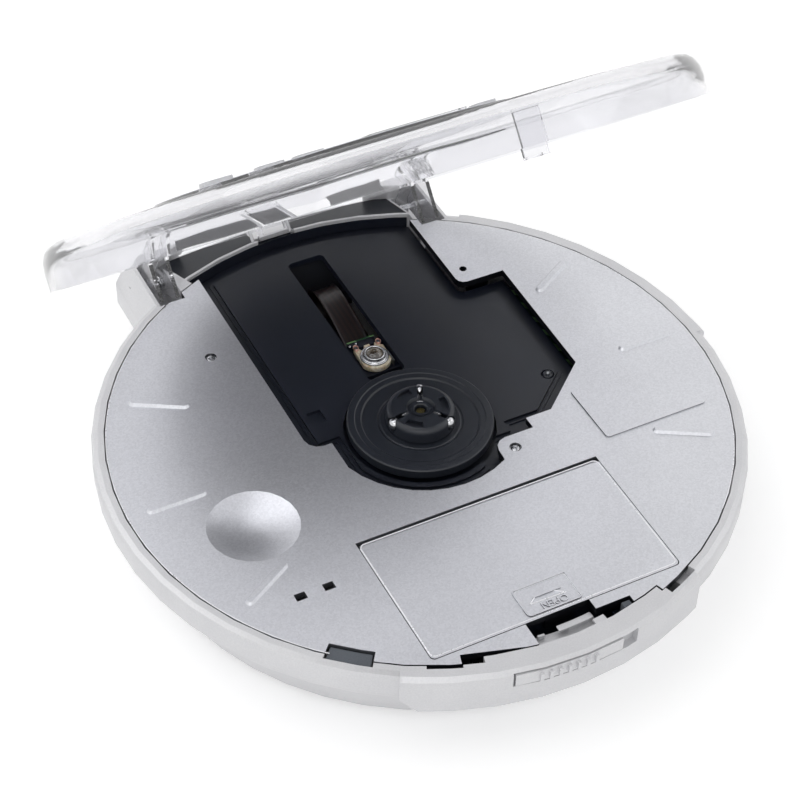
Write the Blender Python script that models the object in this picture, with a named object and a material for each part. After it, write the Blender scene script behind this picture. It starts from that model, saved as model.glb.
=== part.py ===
"""Portable compact disc player with a hinged clear lid, built as separate pieces.

Metres, +Z up. The spindle's axis is +Z and the base face lies at Z = 0. The front edge faces
-Y and the lid's hinge is at +Y. The lid stands open, and everything else is at rest.
"""

import math

import bmesh
import bpy
from mathutils import Matrix, Vector

# Sizes that the whole player follows
PANEL_TOP = 0.021
PANEL_THICK = 0.0017
RIM_RADIUS = 0.0695
PANEL_RADIUS = 0.0665
CLEARANCE = 0.0003
FIT = 0.0004
OVERLAP = 0.0004
OVERRUN = 0.003
MERGE = 0.000002
SHARP_ANGLE = math.radians(32)
FLAT_ANGLE = math.radians(0.4)
ROUND_STEPS = 48
SMALL_STEPS = 12
BORE_STEPS = 8
FILLET_STEPS = 3
RAISED_STEPS = 32
WELL_STEPS = 36
TURNTABLE_STEPS = 32
HUB_STEPS = 24
DISH_STEPS = 24
CELL_STEPS = 24
MOTOR_STEPS = 20
FINGER_STEPS = 5
BAY_ARC_STEPS = 10
FLEX_STEPS = 12
RIB_STEPS = 5
BARREL_STEPS = 9
BALL_STEPS = 6
COIL_STEPS = 8
WIRE_SIDES = 5

# Lower case
FLOOR = 0.002
CASE_WALL = 0.0016
BASE_RADIUS = 0.060
BASE_EDGE = 0.0015
BASE_EDGE_RISE = 0.0006
DISH_RADIUS = 0.0662
DISH_HEIGHT = 0.0125
BAND_DEPTH = 0.0072
BAND_EDGE = 0.0014
RIM_EDGE = 0.0008
RIM_FLAT_RADIUS = 0.0681
LEDGE_WIDTH = 0.0018
LEDGE_DEPTH = 0.004

# Bulge of the front edge, and the block of the sockets and controls on the right
BULGE_RADIUS = 0.0702
BULGE_BOTTOM = 0.0106
BULGE_INNER = 0.064
BULGE_EDGE = 0.0009
BULGE_START = 239.4
BULGE_END = 295.0
BULGE_SLANT = 3.0
POCKET_FLOOR = 0.0124
POCKET_INNER = 0.060
FRONT_POCKET_RADIUS = 0.0676
FRONT_POCKET_TOP = 0.0192
SIDE_POCKET_RADIUS = 0.0684
SIDE_POCKET_TOP = 0.018
END_WALL_ANGLE = 2.2
SIDE_START = -2.0
SIDE_END = 55.0

# Front sector, where the case's flange replaces the panel's edge
FRONT_START = 252.9
FRONT_END = 288.3
FRONT_EDGE_RADIUS = 0.0649

# Hinge block behind the case
HINGE_TOP_HALF = 0.0368
HINGE_LOW_HALF = 0.0402
HINGE_KNEE = 0.015
HINGE_BOTTOM = 0.0095
HINGE_BACK = 0.0762
HINGE_FRONT = 0.050
HINGE_EDGE = 0.0014
SLOT_INNER = 0.030
SLOT_OUTER = 0.036
SLOT_FRONT = 0.0572
SLOT_BACK = 0.0735
SLOT_FLOOR = 0.011
SHELF_RADIUS = 0.069
SHELF_DROP = 0.0006
SHELF_END_RADIUS = 0.080
SHELF_END_DROP = 0.0045
BAY_BACK_RADIUS = 0.0684
BAY_SECTOR_START = 64.9
BAY_SECTOR_END = 113.6
BAY_SECTOR_FLOOR = 0.015
BAY_SIDE_ROOM = 0.0008
HOLLOW_HALF = 0.0265
HOLLOW_BACK = 0.0744
HOLLOW_BOTTOM = 0.0112
HOLLOW_TOP = 0.0168
HOLLOW_FRONT = 0.056

# Lid hinge: its axis, and how far the lid stands open
PIVOT_Y = 0.0693
PIVOT_Z = 0.0165
LID_OPEN = 42.0
PIN_RADIUS = 0.001
PIN_INNER = 0.0275
PIN_OUTER = 0.0384

# Lid
LID_RADIUS = 0.0692
LID_WALL = 0.0016
SKIRT_HEIGHT = 0.0035
LID_HEIGHT = 0.009
LID_SHOULDER = 0.0032
SHOULDER_SHARES = ((0.92, 0.42), (0.68, 0.74), (0.38, 0.93))
LID_CROWN = 0.0003
RAISED_RADIUS = 0.040
RAISED_Y = 0.020
RAISED_HEIGHT = 0.002
RAISED_EDGE = 0.0006
TAB_LEFT = -0.0065
TAB_RIGHT = 0.0015
TAB_FRONT = 0.0654
TAB_THICK = 0.0015
TAB_BAR = 0.0012
TAB_REACH = 0.002
TAB_WINDOW_TOP = 0.0038
RECESS_MARGIN = 0.0007
RECESS_BACK = 0.0706
RECESS_FLOOR = 0.0186
WINDOW_START = 67.0
WINDOW_END = 113.0
WINDOW_LOW = 0.0012
WINDOW_HIGH = 0.0034
ARM_PLATE = 0.0009
ARM_GAP = 0.0006
ARM_TIP_Y = 0.0587
ARM_TIP_DEPTH = 0.0088
ARM_TIP_WIDTH = 0.0035
ARM_HEEL_Y = 0.0655
ARM_FRONT_Y = 0.0515
ARM_BARREL = 0.003
BARREL_START = -115.0
BARREL_END = 75.0
ARM_BOSS_Y = 0.056
ARM_BOSS_HEIGHT = 0.0044
ARM_BOSS_RADIUS = 0.0011

# Free edge of the lid: its hook, and the latch under the panel's front edge
HOOK_LEFT = 0.0042
HOOK_RIGHT = 0.0093
HOOK_FRONT = -0.0626
HOOK_THICK = 0.0007
HOOK_BOTTOM = 0.0192
BARB_LEFT = 0.0044
BARB_RIGHT = 0.0074
BARB_FRONT = -0.0635
BARB_HEIGHT = 0.0005

# Keys and display pane on the lid
KEY_EDGES = ((-0.0332, -0.0265), (-0.0211, -0.0151), (-0.0126, -0.0062), (0.0287, 0.0339))
PANE_EDGES = (0.0036, 0.0262)
KEY_Y = 0.008
KEY_DEPTH = 0.0056
PANE_DEPTH = 0.0084
KEY_RISE = 0.0012
KEY_LIP = 0.0007
KEY_LIP_THICK = 0.0005
KEY_CORNER = 0.0016
PANE_CORNER = 0.001
PLATE_HALF = 0.0385
PLATE_FRONT = 0.002
PLATE_BACK = 0.0162
PLATE_THICK = 0.0008
PLATE_DROP = 0.0015
PEG_RADIUS = 0.001
PEG_XS = (-0.031, -0.009, 0.0295)

# Top panel
RIB_INNER = 0.0492
RIB_OUTER = 0.0623
RIB_HALF = 0.001
RIB_HEIGHT = 0.0006
RIB_TAPER = 0.0004
RIB_ANGLES = (0.0, 30.0, 150.0, 180.0, 210.0, -30.0)
DISH_X = -0.0444
DISH_Y = -0.0127
FINGER_RADIUS = 0.0096
FINGER_DEPTH = 0.0022
FINGER_BOSS_RADIUS = 0.0109
FINGER_BOSS_BOTTOM = 0.017
HOLE_CENTRES = ((-0.0437, -0.0337), (-0.0376, -0.0337))
HOLE_WIDTH = 0.0023
HOLE_DEPTH = 0.0018
PLATE_CENTRE = (0.0451, -0.01465)
PLATE_WIDTH = 0.0248
PLATE_LENGTH = 0.0157
PLATE_RISE = 0.0003
PLATE_ROUND = 0.0008
EYE_X = 0.0312
EYE_Y = 0.039
EYE_RADIUS = 0.0009
BOSS_RADIUS = 0.0026
BOSS_PITCH_RADIUS = 0.053
BOSS_ANGLES = (48.0, 165.0, 228.0, 327.0)

# Mechanism bay: corners as shares of the panel's radius, x, y and rounding
BAY_RIGHT_ANGLE = 65.6
BAY_LEFT_ANGLE = 111.25
BAY_FRONT_RADIUS = 0.0211
BAY_FRONT_START = 197.7
BAY_FRONT_END = 298.9
BAY_LEFT_SHARES = ((-0.3774, 0.0226, 0.048), (-0.3023, 0.0226, 0.0))
BAY_RIGHT_SHARES = (
    (0.1594, -0.1925, 0.045),
    (0.3038, -0.1925, 0.0),
    (0.3038, -0.1459, 0.0),
    (0.3970, -0.1459, 0.0),
    (0.5805, 0.0105, 0.0),
    (0.5895, 0.5203, 0.0),
    (0.4211, 0.5218, 0.0301),
)


# Mechanism deck
DECK_TOP = 0.0184
DECK_THICK = 0.0015
DECK_GAP = 0.0025
DECK_STEP = 0.0009
DECK_STEP_HEIGHT = 0.0006
DECK_WALL = 0.001
DECK_SKIRT = 0.0034
DECK_FLANGE = 0.0005
DECK_FLANGE_DROP = 0.0003
DECK_BACK_GAP = 0.0003
WELL_RADIUS = 0.0164
WELL_DEPTH = 0.0025
CUP_WALL = 0.0015
LENS_SLOT_LEFT = -0.0034
LENS_SLOT_RIGHT = 0.0056
LENS_SLOT_FRONT = 0.0174
LENS_SLOT_INSET = 0.0079
LENS_SLOT_ROUND = 0.0012
RECESS_X = -0.0186
RECESS_Y = 0.0123
RECESS_WIDTH = 0.0032
RECESS_LENGTH = 0.0035
RECESS_DEPTH = 0.0008
LOCATOR_X = 0.0327
LOCATOR_Y = 0.0023
LOCATOR_HOLE = 0.0015
LOCATOR_RADIUS = 0.0009
LOCATOR_FOOT = 0.0016
LUG_THICK = 0.0016
LUG_FRONT = 0.015
GUIDE_LUG_INSET = 0.0062
SCREW_LUG_INSET = 0.0104
LUG_HALF = 0.0019
LUG_BOTTOM = 0.0115

# Dampers between the case's posts and the deck
DAMPER_INSET = 0.0204
DAMPER_CENTRES = ((-0.0178, BAY_BACK_RADIUS - DAMPER_INSET), (-0.0182, 0.0155), (0.0320, 0.0230))
DAMPER_RADIUS = 0.003
DAMPER_WAIST = 0.0022
DAMPER_BOTTOM = 0.010
DAMPER_PIN = 0.0012
DAMPER_BORE = 0.0016

# Turntable, clamp and spindle
TURNTABLE_RADIUS = 0.0157
TURNTABLE_THICK = 0.0024
TURNTABLE_EDGE = 0.0003
TURNTABLE_RING = 0.0125
TURNTABLE_DIP = 0.0005
TURNTABLE_BOSS = 0.004
TURNTABLE_BOSS_DROP = 0.0022
HUB_RADIUS = 0.0074
HUB_HEIGHT = 0.0033
HUB_EDGE = 0.0008
HUB_MOUTH = 0.003
HUB_DIP = 0.0008
SHAFT_RADIUS = 0.001
SHAFT_BORE = 0.0013
SHAFT_BOTTOM = 0.007
BALL_RADIUS = 0.0013
BALL_CENTRE = 0.0066
BALL_HEIGHT = 0.0018
BALL_POCKET = 0.0016
BALL_POCKET_INNER = 0.0042
BALL_ANGLES = (65.0, 186.0, 306.0)
MOTOR_RADIUS = 0.012
MOTOR_HEIGHT = 0.0082
MOTOR_EDGE = 0.0008

# Pickup sled, its guides and its drive
LENS_X = 0.0016
LENS_Y = 0.0250
SLED_LEFT = -0.009
SLED_RIGHT = 0.010
SLED_FRONT = 0.0211
SLED_BACK = 0.0317
SLED_BOTTOM = 0.0115
SLED_TOP = 0.0158
SLED_LUG_FRONT = 0.0222
SLED_LUG_BACK = 0.0302
SLED_NUT_BACK = 0.0259
SLED_LUG_HALF = 0.0018
GUIDE_X = -0.0122
SCREW_X = 0.0212
GUIDE_Z = 0.0134
GUIDE_RADIUS = 0.001
FEED_RADIUS = 0.0013
GUIDE_BORE_GAP = 0.0003
GUIDE_END = 0.0002
FEED_MOTOR_RADIUS = 0.0031
FEED_MOTOR_LENGTH = 0.0125
HOLDER_LEFT = -0.0021
HOLDER_RIGHT = 0.0053
HOLDER_FRONT = 0.0211
HOLDER_BACK = 0.0293
HOLDER_TOP = 0.0179
HOLDER_ROUND = 0.0008
LENS_RADIUS = 0.002
LENS_BORE = 0.0024
LENS_BOTTOM = 0.0172
LENS_EDGE_TOP = 0.0186
LENS_CROWN = 0.0006
FLEX_LEFT = -0.0016
FLEX_RIGHT = 0.0036
FLEX_THICK = 0.0003
FLEX_START_Y = 0.0321
FLEX_START_Z = 0.0146
FLEX_CREST_Y = 0.0375
FLEX_CREST_Z = 0.0152
FLEX_END_Y = 0.0505
FLEX_END_Z = 0.0058

# Battery bay
DOOR_LEFT = -0.0280
DOOR_RIGHT = 0.0276
DOOR_FRONT = -0.0589
DOOR_BACK = -0.0276
DOOR_CORNER = 0.001
DOOR_AXIS_Y = -0.0274
DOOR_AXIS_DROP = 0.001
DOOR_BARREL = 0.0009
DOOR_SIDE_GAP = 0.00015
DOOR_BACK_GAP = 0.0005
DOOR_PIN_RADIUS = 0.00045
DOOR_PIN_LENGTH = 0.0012
DOOR_SOCKET_HALF = 0.0007
DOOR_SOCKET_DEPTH = 0.0016
TAB_CENTRE_X = -0.00025
TAB_WIDTH = 0.0125
TAB_LENGTH = 0.0075
TAB_MARGIN = 0.0009
TAB_LINE = 0.0005
TAB_RISE = 0.00025
ARROW_HALF = 0.0032
ARROW_LENGTH = 0.0026
TONGUE_HALF = 0.003
TONGUE_THICK = 0.0007
TONGUE_DROP = 0.0023
CELL_RADIUS = 0.00725
CELL_Z = 0.0117
CELL_FIT = 0.00025
TRAY_LEFT = -0.0273
TRAY_RIGHT = 0.0269
TRAY_BACK = -0.027
TRAY_WALL = 0.0012
TRAY_SHELL = 0.0008
TRAY_BOTTOM = 0.0026
TRAY_TOP = 0.0188
CONTACT_THICK = 0.0004
CONTACT_DISC = 0.005
CONTACT_LINK_HALF = 0.0012
CONTACT_BUMP = 0.0016
CONTACT_BUMP_TIP = 0.0009
CONTACT_REACH = 0.0009
LEAF_REACH = 0.0016

# Fixings and feet
SCREW_HEAD_RADIUS = 0.0024
SCREW_HEAD_HEIGHT = 0.0011
SCREW_SHANK_RADIUS = 0.0009
SCREW_SHANK_LENGTH = 0.0065
SCREW_DEPTH = 0.0021
SCREW_BORE = 0.0012
POST_RADIUS = 0.0036
POST_HEIGHT = 0.004
PILOT_DEPTH = 0.0065
PANEL_SCREWS = ((-0.0325, 0.0367), (0.014, -0.0163))
PANEL_SCREW_HEAD = 0.0010
PANEL_SCREW_SUNK = 0.0008
PANEL_SCREW_HEIGHT = 0.0004
PANEL_SCREW_SHANK = 0.0006
PANEL_SCREW_LENGTH = 0.006
PANEL_POST_RADIUS = 0.002
PANEL_POST_PILOT = 0.0075
FOOT_PITCH_RADIUS = 0.050
FOOT_ANGLES = (25.0, 115.0, 205.0, 295.0)
FOOT_RADIUS = 0.0039
FOOT_RECESS = 0.0008
FOOT_STAND = 0.001
FOOT_EDGE = 0.0005

# Slide switch, latch and lid switch
SWITCH_START = 257.6
SWITCH_END = 276.6
SWITCH_TRAVEL = 2.7
KNOB_INNER = 0.069
KNOB_OUTER = 0.0709
KNOB_BOTTOM = 0.0169
KNOB_TOP = 0.020
KNOB_RIDGES = 7
KNOB_RIDGE = 0.0006
RIDGE_START = 261.5
RIDGE_PITCH = 1.6
RIDGE_ANGLE = 0.6
GROOVE_RADIUS = 0.0687
STEM_START = 266.0
STEM_END = 269.0
STEM_INNER = 0.0655
STEM_BOTTOM = 0.0179
STEM_TOP = 0.0189
LATCH_INNER = 0.061
LATCH_OUTER = 0.0663
LATCH_START = 262.0
LATCH_END = 276.3
LATCH_BOTTOM = 0.0162
LATCH_TOP = 0.0176
BLOCK_START = 270.4
BLOCK_END = 275.0
BLOCK_OUTER = 0.0619
BLOCK_TOP = 0.0188
LIP_START = 274.3
LIP_END = 276.6
LIP_POST_INNER = 0.06425
LIP_POST_OUTER = 0.06485
LIP_INNER = 0.0635
LIP_BOTTOM = 0.02005
LIP_TOP = 0.0205
SPRING_RADIUS = 0.0014
SPRING_WIRE = 0.00022
SPRING_TURNS = 6
COIL_TURNS = 3
COIL_TAIL = 0.0028
SPRING_START = 251.2
SPRING_END = 261.6
SPRING_PITCH_RADIUS = 0.0637
SPRING_Z = 0.0160
LIDSWITCH_LEFT = 0.0119
LIDSWITCH_RIGHT = 0.0138
LIDSWITCH_FRONT = -0.0635
LIDSWITCH_BACK = -0.0622
LIDSWITCH_TOP = 0.0206
SWITCHBOX_MARGIN = 0.0011
SWITCHBOX_TOP = 0.0174
SWITCHBOX_FLOOR = 0.0145

# Cut-outs along the front edge, between the panel and the rim
WEDGE_SHARES = ((-0.3414, -0.9038), (-0.1579, -0.9609), (-0.1579, -1.03), (-0.3714, -1.0))
LATCH_WINDOW_LEFT = -0.0078
LATCH_WINDOW_RIGHT = 0.0065
RIGHT_WINDOW_RIGHT = 0.0142
RIGHT_WINDOW_BACK = -0.0616
LEFT_NOTCH_START = 243.6
LEFT_NOTCH_END = 249.6
LEFT_NOTCH_RADIUS = 0.0674
THIN_NOTCH_START = 288.9
THIN_NOTCH_END = 295.5
THIN_NOTCH_RADIUS = 0.0683
NOTCH_FLOOR = 0.0186
BUMPER_START = 227.1
BUMPER_END = 234.6
BUMPER_INNER = 0.0643
BUMPER_OUTER = 0.0675
BUMPER_TOP = 0.0204
BUMPER_BOTTOM = 0.0171

# Sockets and controls on the right, and the board that carries them
BOARD_LEFT = 0.0415
BOARD_RADIUS = 0.059
BOARD_BOTTOM = 0.012
BOARD_THICK = 0.0012
BOARD_START = -24.0
BOARD_END = 38.0
BOARD_POSTS = ((0.050, -0.014), (0.046, 0.029))
BOARD_POST_RADIUS = 0.0018
DC_ANGLE = 6.0
PHONES_ANGLE = 16.0
JACK_INNER = 0.0575
JACK_SHOULDER = 0.0680
JACK_FACE = 0.0697
JACK_HALF = 0.0036
JACK_TOP = 0.0178
JACK_Z = 0.0157
JACK_NOSE = 0.0026
PHONES_BORE = 0.00185
PHONES_DEPTH = 0.009
DC_BORE = 0.0018
DC_DEPTH = 0.0055
DC_PIN = 0.0007
DC_PIN_BACK = 0.0012
VOLUME_ANGLE = 28.0
WHEEL_RADIUS = 0.008
WHEEL_CENTRE = 0.0630
WHEEL_BOTTOM = 0.0149
WHEEL_TOP = 0.0171
WHEEL_TEETH = 30
WHEEL_TOOTH = 0.0003
WHEEL_BORE = 0.0015
POT_RADIUS = 0.0036
POT_SHAFT = 0.0012
POT_TOP = 0.0146
POT_SHAFT_TOP = 0.0178
HOLD_ANGLE = 40.0
HOLD_HALF_ANGLE = 2.2
HOLD_TRAVEL = 1.2
HOLD_HALF_HEIGHT = 0.001
HOLD_Z = 0.0156
HOLD_OUTER = 0.0710
HOLD_BACK = 0.0674
HOLD_LIP = 0.0008
HOLD_LIP_ANGLE = 1.4


def circle(centre, radius, steps=SMALL_STEPS):
    """Points of a whole circle about a centre."""
    return arc(centre, radius, 0.0, 360.0, steps)[:-1]


def arc(centre, radius, start, end, steps):
    """Points of an arc about a centre, both ends included, with its angles in degrees."""
    points = []
    for step in range(steps + 1):
        angle = math.radians(start + (end - start) * step / steps)
        points.append((centre[0] + radius * math.cos(angle), centre[1] + radius * math.sin(angle)))
    return points


def polar(radius, degrees):
    """The point at a radius and an angle about the spindle."""
    return radius * math.cos(math.radians(degrees)), radius * math.sin(math.radians(degrees))


def rectangle(left, right, front, back, corner=0.0, steps=FILLET_STEPS):
    """Outline of a rectangle with equally rounded corners, anticlockwise."""
    if not corner:
        return [(left, front), (right, front), (right, back), (left, back)]
    outline = arc((right - corner, back - corner), corner, 0.0, 90.0, steps)
    outline += arc((left + corner, back - corner), corner, 90.0, 180.0, steps)
    outline += arc((left + corner, front + corner), corner, 180.0, 270.0, steps)
    outline += arc((right - corner, front + corner), corner, 270.0, 360.0, steps)
    return outline


def inset(corners, distance):
    """Corners (x, y, rounding) moved inward by a distance, with their roundings kept concentric."""
    moved = []
    for index, (x, y, rounding) in enumerate(corners):
        here = Vector((x, y))
        before = Vector(corners[index - 1][:2])
        after = Vector(corners[(index + 1) % len(corners)][:2])
        arriving = (here - before).normalized()
        leaving = (after - here).normalized()
        left = Vector((-arriving.y, arriving.x)) + Vector((-leaving.y, leaving.x))
        here += left * (distance / (1.0 + arriving.dot(leaving)))
        turn = 1.0 if arriving.x * leaving.y - arriving.y * leaving.x > 0 else -1.0
        moved.append((here.x, here.y, max(rounding - turn * distance, 0.0) if rounding else 0.0))
    return moved


def rounded(corners, steps=FILLET_STEPS):
    """Outline through corners (x, y, rounding), each corner replaced by its arc."""
    outline = []
    for index, (x, y, rounding) in enumerate(corners):
        here = Vector((x, y))
        if not rounding:
            outline.append((x, y))
            continue
        back = (Vector(corners[index - 1][:2]) - here).normalized()
        ahead = (Vector(corners[(index + 1) % len(corners)][:2]) - here).normalized()
        half = back.angle(ahead) / 2.0
        centre = here + (back + ahead).normalized() * (rounding / math.sin(half))
        first = here + back * (rounding / math.tan(half)) - centre
        last = here + ahead * (rounding / math.tan(half)) - centre
        start = math.degrees(math.atan2(first.y, first.x))
        sweep = math.degrees(math.atan2(last.y, last.x)) - start
        sweep = (sweep + 180.0) % 360.0 - 180.0
        outline += arc(centre, rounding, start, start + sweep, steps)
    return outline


def make_object(name, bm):
    """A new object from a bmesh, with every face pointing out."""
    bmesh.ops.recalc_face_normals(bm, faces=bm.faces)
    mesh = bpy.data.meshes.new(name)
    bm.to_mesh(mesh)
    bm.free()
    made = bpy.data.objects.new(name, mesh)
    bpy.context.scene.collection.objects.link(made)
    return made


def loft(name, sections):
    """Closed skin through sections with equal numbers of points, capped at both ends."""
    bm = bmesh.new()
    loops = [[bm.verts.new(point) for point in section] for section in sections]
    for lower, upper in zip(loops, loops[1:]):
        for index in range(len(lower)):
            following = (index + 1) % len(lower)
            bm.faces.new((lower[index], lower[following], upper[following], upper[index]))
    bm.faces.new(loops[0])
    bm.faces.new(loops[-1])
    return make_object(name, bm)


def along(axis, outline, level):
    """A flat outline at a level of the axis that it is extruded along."""
    if axis == "X":
        return [(level, u, v) for u, v in outline]
    if axis == "Y":
        return [(u, level, v) for u, v in outline]
    return [(u, v, level) for u, v in outline]


def prism(name, outline, low, high, axis="Z"):
    """Outline extruded between two levels of an axis."""
    return loft(name, [along(axis, outline, low), along(axis, outline, high)])


def rod(name, centre, radius, low, high, axis="Z", steps=SMALL_STEPS):
    """Round bar between two levels of an axis."""
    return prism(name, circle(centre, radius, steps), low, high, axis)


def box(name, x_range, y_range, z_range):
    """Plain block between pairs of limits."""
    return prism(name, rectangle(*x_range, *y_range), *z_range)


def turned(name, profile, centre=(0.0, 0.0), steps=ROUND_STEPS):
    """Whole turn about Z of a closed (radius, height) profile, whose ends may lie on the axis."""
    bm = bmesh.new()
    on_axis = [bm.verts.new((centre[0], centre[1], z)) if radius == 0 else None for radius, z in profile]
    rings = []
    for step in range(steps):
        angle = 2.0 * math.pi * step / steps
        ring = []
        for shared, (radius, z) in zip(on_axis, profile):
            spot = (centre[0] + radius * math.cos(angle), centre[1] + radius * math.sin(angle), z)
            ring.append(shared or bm.verts.new(spot))
        rings.append(ring)
    for ring, following in zip(rings, rings[1:] + rings[:1]):
        for index in range(len(profile)):
            next_index = (index + 1) % len(profile)
            corners = [ring[index], ring[next_index], following[next_index], following[index]]
            corners = list(dict.fromkeys(corners))
            if len(corners) > 2:
                bm.faces.new(corners)
    return make_object(name, bm)


def facet_angles(start, end):
    """Both ends of part of a turn, and the whole turn's facet edges that lie between them."""
    facet = 360.0 / ROUND_STEPS
    between = range(math.floor(start / facet) + 1, math.ceil(end / facet))
    return [start] + [facet * number for number in between] + [end]


def facet_arc(radius, start, end):
    """Points of part of a turn, in line with the facets of the turned pieces."""
    return [polar(radius, angle) for angle in facet_angles(start, end)]


def swept(name, section, start, end, also=()):
    """Part of a turn about Z through the (radius, height) sections that section(angle) gives."""
    sections = []
    for angle in sorted(facet_angles(start, end) + list(also)):
        sections.append([(*polar(radius, angle), z) for radius, z in section(angle)])
    return loft(name, sections)


def sector(name, inner, outer, low, high, start, end):
    """Block of rectangular section that follows part of a turn about Z."""
    profile = [(inner, low), (outer, low), (outer, high), (inner, high)]
    return swept(name, lambda angle: profile, start, end)


def tube(name, points, radius, sides=WIRE_SIDES):
    """Round wire along a path, its ends capped."""
    path = [Vector(point) for point in points]
    aim = (path[1] - path[0]).normalized()
    side = aim.orthogonal().normalized()
    sections = []
    for index, spot in enumerate(path):
        before = path[max(index - 1, 0)]
        after = path[min(index + 1, len(path) - 1)]
        heading = (after - before).normalized()
        side = (side - heading * side.dot(heading)).normalized()
        other = heading.cross(side)
        ring = []
        for step in range(sides):
            angle = 2.0 * math.pi * step / sides
            ring.append(spot + (side * math.cos(angle) + other * math.sin(angle)) * radius)
        sections.append(ring)
    return loft(name, sections)


def combine(target, others, operation):
    """One exact Boolean of the target with all the others, which it uses up."""
    group = bpy.data.collections.new("operands")
    bpy.context.scene.collection.children.link(group)
    for other in others:
        bpy.context.scene.collection.objects.unlink(other)
        group.objects.link(other)
    modifier = target.modifiers.new("combine", "BOOLEAN")
    modifier.operation = operation
    modifier.operand_type = "COLLECTION"
    modifier.collection = group
    modifier.solver = "EXACT"
    evaluated = target.evaluated_get(bpy.context.evaluated_depsgraph_get())
    mesh = bpy.data.meshes.new_from_object(evaluated)
    target.modifiers.clear()
    target.data = mesh
    for other in others:
        bpy.data.objects.remove(other)
    bpy.data.collections.remove(group)
    bm = bmesh.new()
    bm.from_mesh(mesh)
    bmesh.ops.remove_doubles(bm, verts=bm.verts, dist=MERGE)
    bmesh.ops.dissolve_degenerate(bm, edges=bm.edges, dist=MERGE)
    bmesh.ops.dissolve_limit(bm, angle_limit=FLAT_ANGLE, verts=bm.verts, edges=bm.edges)
    bmesh.ops.delete(bm, geom=[vert for vert in bm.verts if not vert.link_faces], context="VERTS")
    bm.to_mesh(mesh)
    bm.free()
    return target


def carve(target, others):
    """Cut the others out of the target."""
    return combine(target, others, "DIFFERENCE")


def fuse(target, others):
    """Join the others to the target as one body."""
    return combine(target, others, "UNION")


def keep_inside(target, envelope):
    """Keep only what lies inside the envelope."""
    return combine(target, [envelope], "INTERSECT")


def material(name, colour, roughness, metallic=0.0, alpha=1.0):
    """Principled material of a linear colour."""
    made = bpy.data.materials.new(name)
    made.use_nodes = True
    shader = made.node_tree.nodes["Principled BSDF"]
    shader.inputs["Base Color"].default_value = (*colour, 1.0)
    shader.inputs["Roughness"].default_value = roughness
    shader.inputs["Metallic"].default_value = metallic
    shader.inputs["Alpha"].default_value = alpha
    made.diffuse_color = (*colour, alpha)
    return made


def silver_paint(name):
    return material(name, (0.62, 0.63, 0.65), 0.32, 0.55)


def black_plastic(name):
    return material(name, (0.018, 0.020, 0.026), 0.42)


def grey_rubber(name):
    return material(name, (0.12, 0.125, 0.14), 0.75)


def bright_steel(name):
    return material(name, (0.60, 0.60, 0.61), 0.22, 1.0)


def clear_plastic(name):
    return material(name, (0.90, 0.91, 0.93), 0.06, 0.0, 0.35)


def white_plastic(name):
    return material(name, (0.72, 0.72, 0.70), 0.4)


def green_board(name):
    return material(name, (0.04, 0.13, 0.06), 0.5)


def amber_film(name):
    return material(name, (0.42, 0.17, 0.04), 0.35)


def finish(obj, make_material, origin=(0.0, 0.0, 0.0), parent=None):
    """Give a piece its material, smooth shading and an origin, and hang it on its parent."""
    obj.data.materials.clear()
    obj.data.materials.append(make_material(obj.name))
    obj.data.shade_smooth()
    obj.data.set_sharp_from_angle(angle=SHARP_ANGLE)
    obj.data.transform(Matrix.Translation(-Vector(origin)))
    obj.location = Vector(origin)
    if parent:
        obj.parent = parent
        obj.location = Vector(origin) - parent.location
    return obj


# Lower case


def case_profile():
    band_bottom = PANEL_TOP - BAND_DEPTH
    return [
        (0.0, 0.0),
        (BASE_RADIUS, 0.0),
        (BASE_RADIUS + BASE_EDGE, BASE_EDGE_RISE),
        (DISH_RADIUS, DISH_HEIGHT),
        (RIM_RADIUS - RIM_EDGE, band_bottom),
        (RIM_RADIUS, band_bottom + BAND_EDGE),
        (RIM_RADIUS, PANEL_TOP - BAND_EDGE),
        (RIM_RADIUS - RIM_EDGE / 2, PANEL_TOP - RIM_EDGE / 2),
        (RIM_FLAT_RADIUS, PANEL_TOP),
        (0.0, PANEL_TOP),
    ]


def seat_height():
    return PANEL_TOP - PANEL_THICK - CLEARANCE


def ledge_radius():
    return PANEL_RADIUS + CLEARANCE - LEDGE_WIDTH


def cavity_profile(gap=0.0):
    """The case's inner wall, drawn in by a gap for what stands inside."""
    ledge = ledge_radius() - gap
    wall_foot = BASE_RADIUS - gap
    wall_head = DISH_RADIUS - CASE_WALL + OVERLAP / 4 - gap
    top = seat_height()
    return [
        (0.0, FLOOR + gap),
        (wall_foot, FLOOR + gap),
        (wall_head, DISH_HEIGHT),
        (ledge, top - LEDGE_DEPTH),
        (ledge, top),
    ]


def cavity():
    rim = PANEL_RADIUS + CLEARANCE
    profile = cavity_profile() + [
        (rim, seat_height()),
        (rim, PANEL_TOP + OVERRUN),
        (0.0, PANEL_TOP + OVERRUN),
    ]
    return turned("cavity", profile)


def bulge_section(bottom):
    return [
        (BULGE_INNER, bottom),
        (BULGE_RADIUS - BULGE_EDGE, bottom),
        (BULGE_RADIUS, bottom + BULGE_EDGE),
        (BULGE_RADIUS, PANEL_TOP - BULGE_EDGE),
        (BULGE_RADIUS - BULGE_EDGE, PANEL_TOP),
        (BULGE_INNER, PANEL_TOP),
    ]


def front_bulge():
    band_bottom = PANEL_TOP - BAND_DEPTH

    def section(angle):
        share = min((angle - BULGE_START) / BULGE_SLANT, 1.0)
        return bulge_section(band_bottom + (BULGE_BOTTOM - band_bottom) * share)

    return swept("front_bulge", section, BULGE_START, BULGE_END, (BULGE_START + BULGE_SLANT,))


def side_block():
    section = bulge_section(BULGE_BOTTOM)
    return swept("side_block", lambda angle: section, SIDE_START, SIDE_END)


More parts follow.
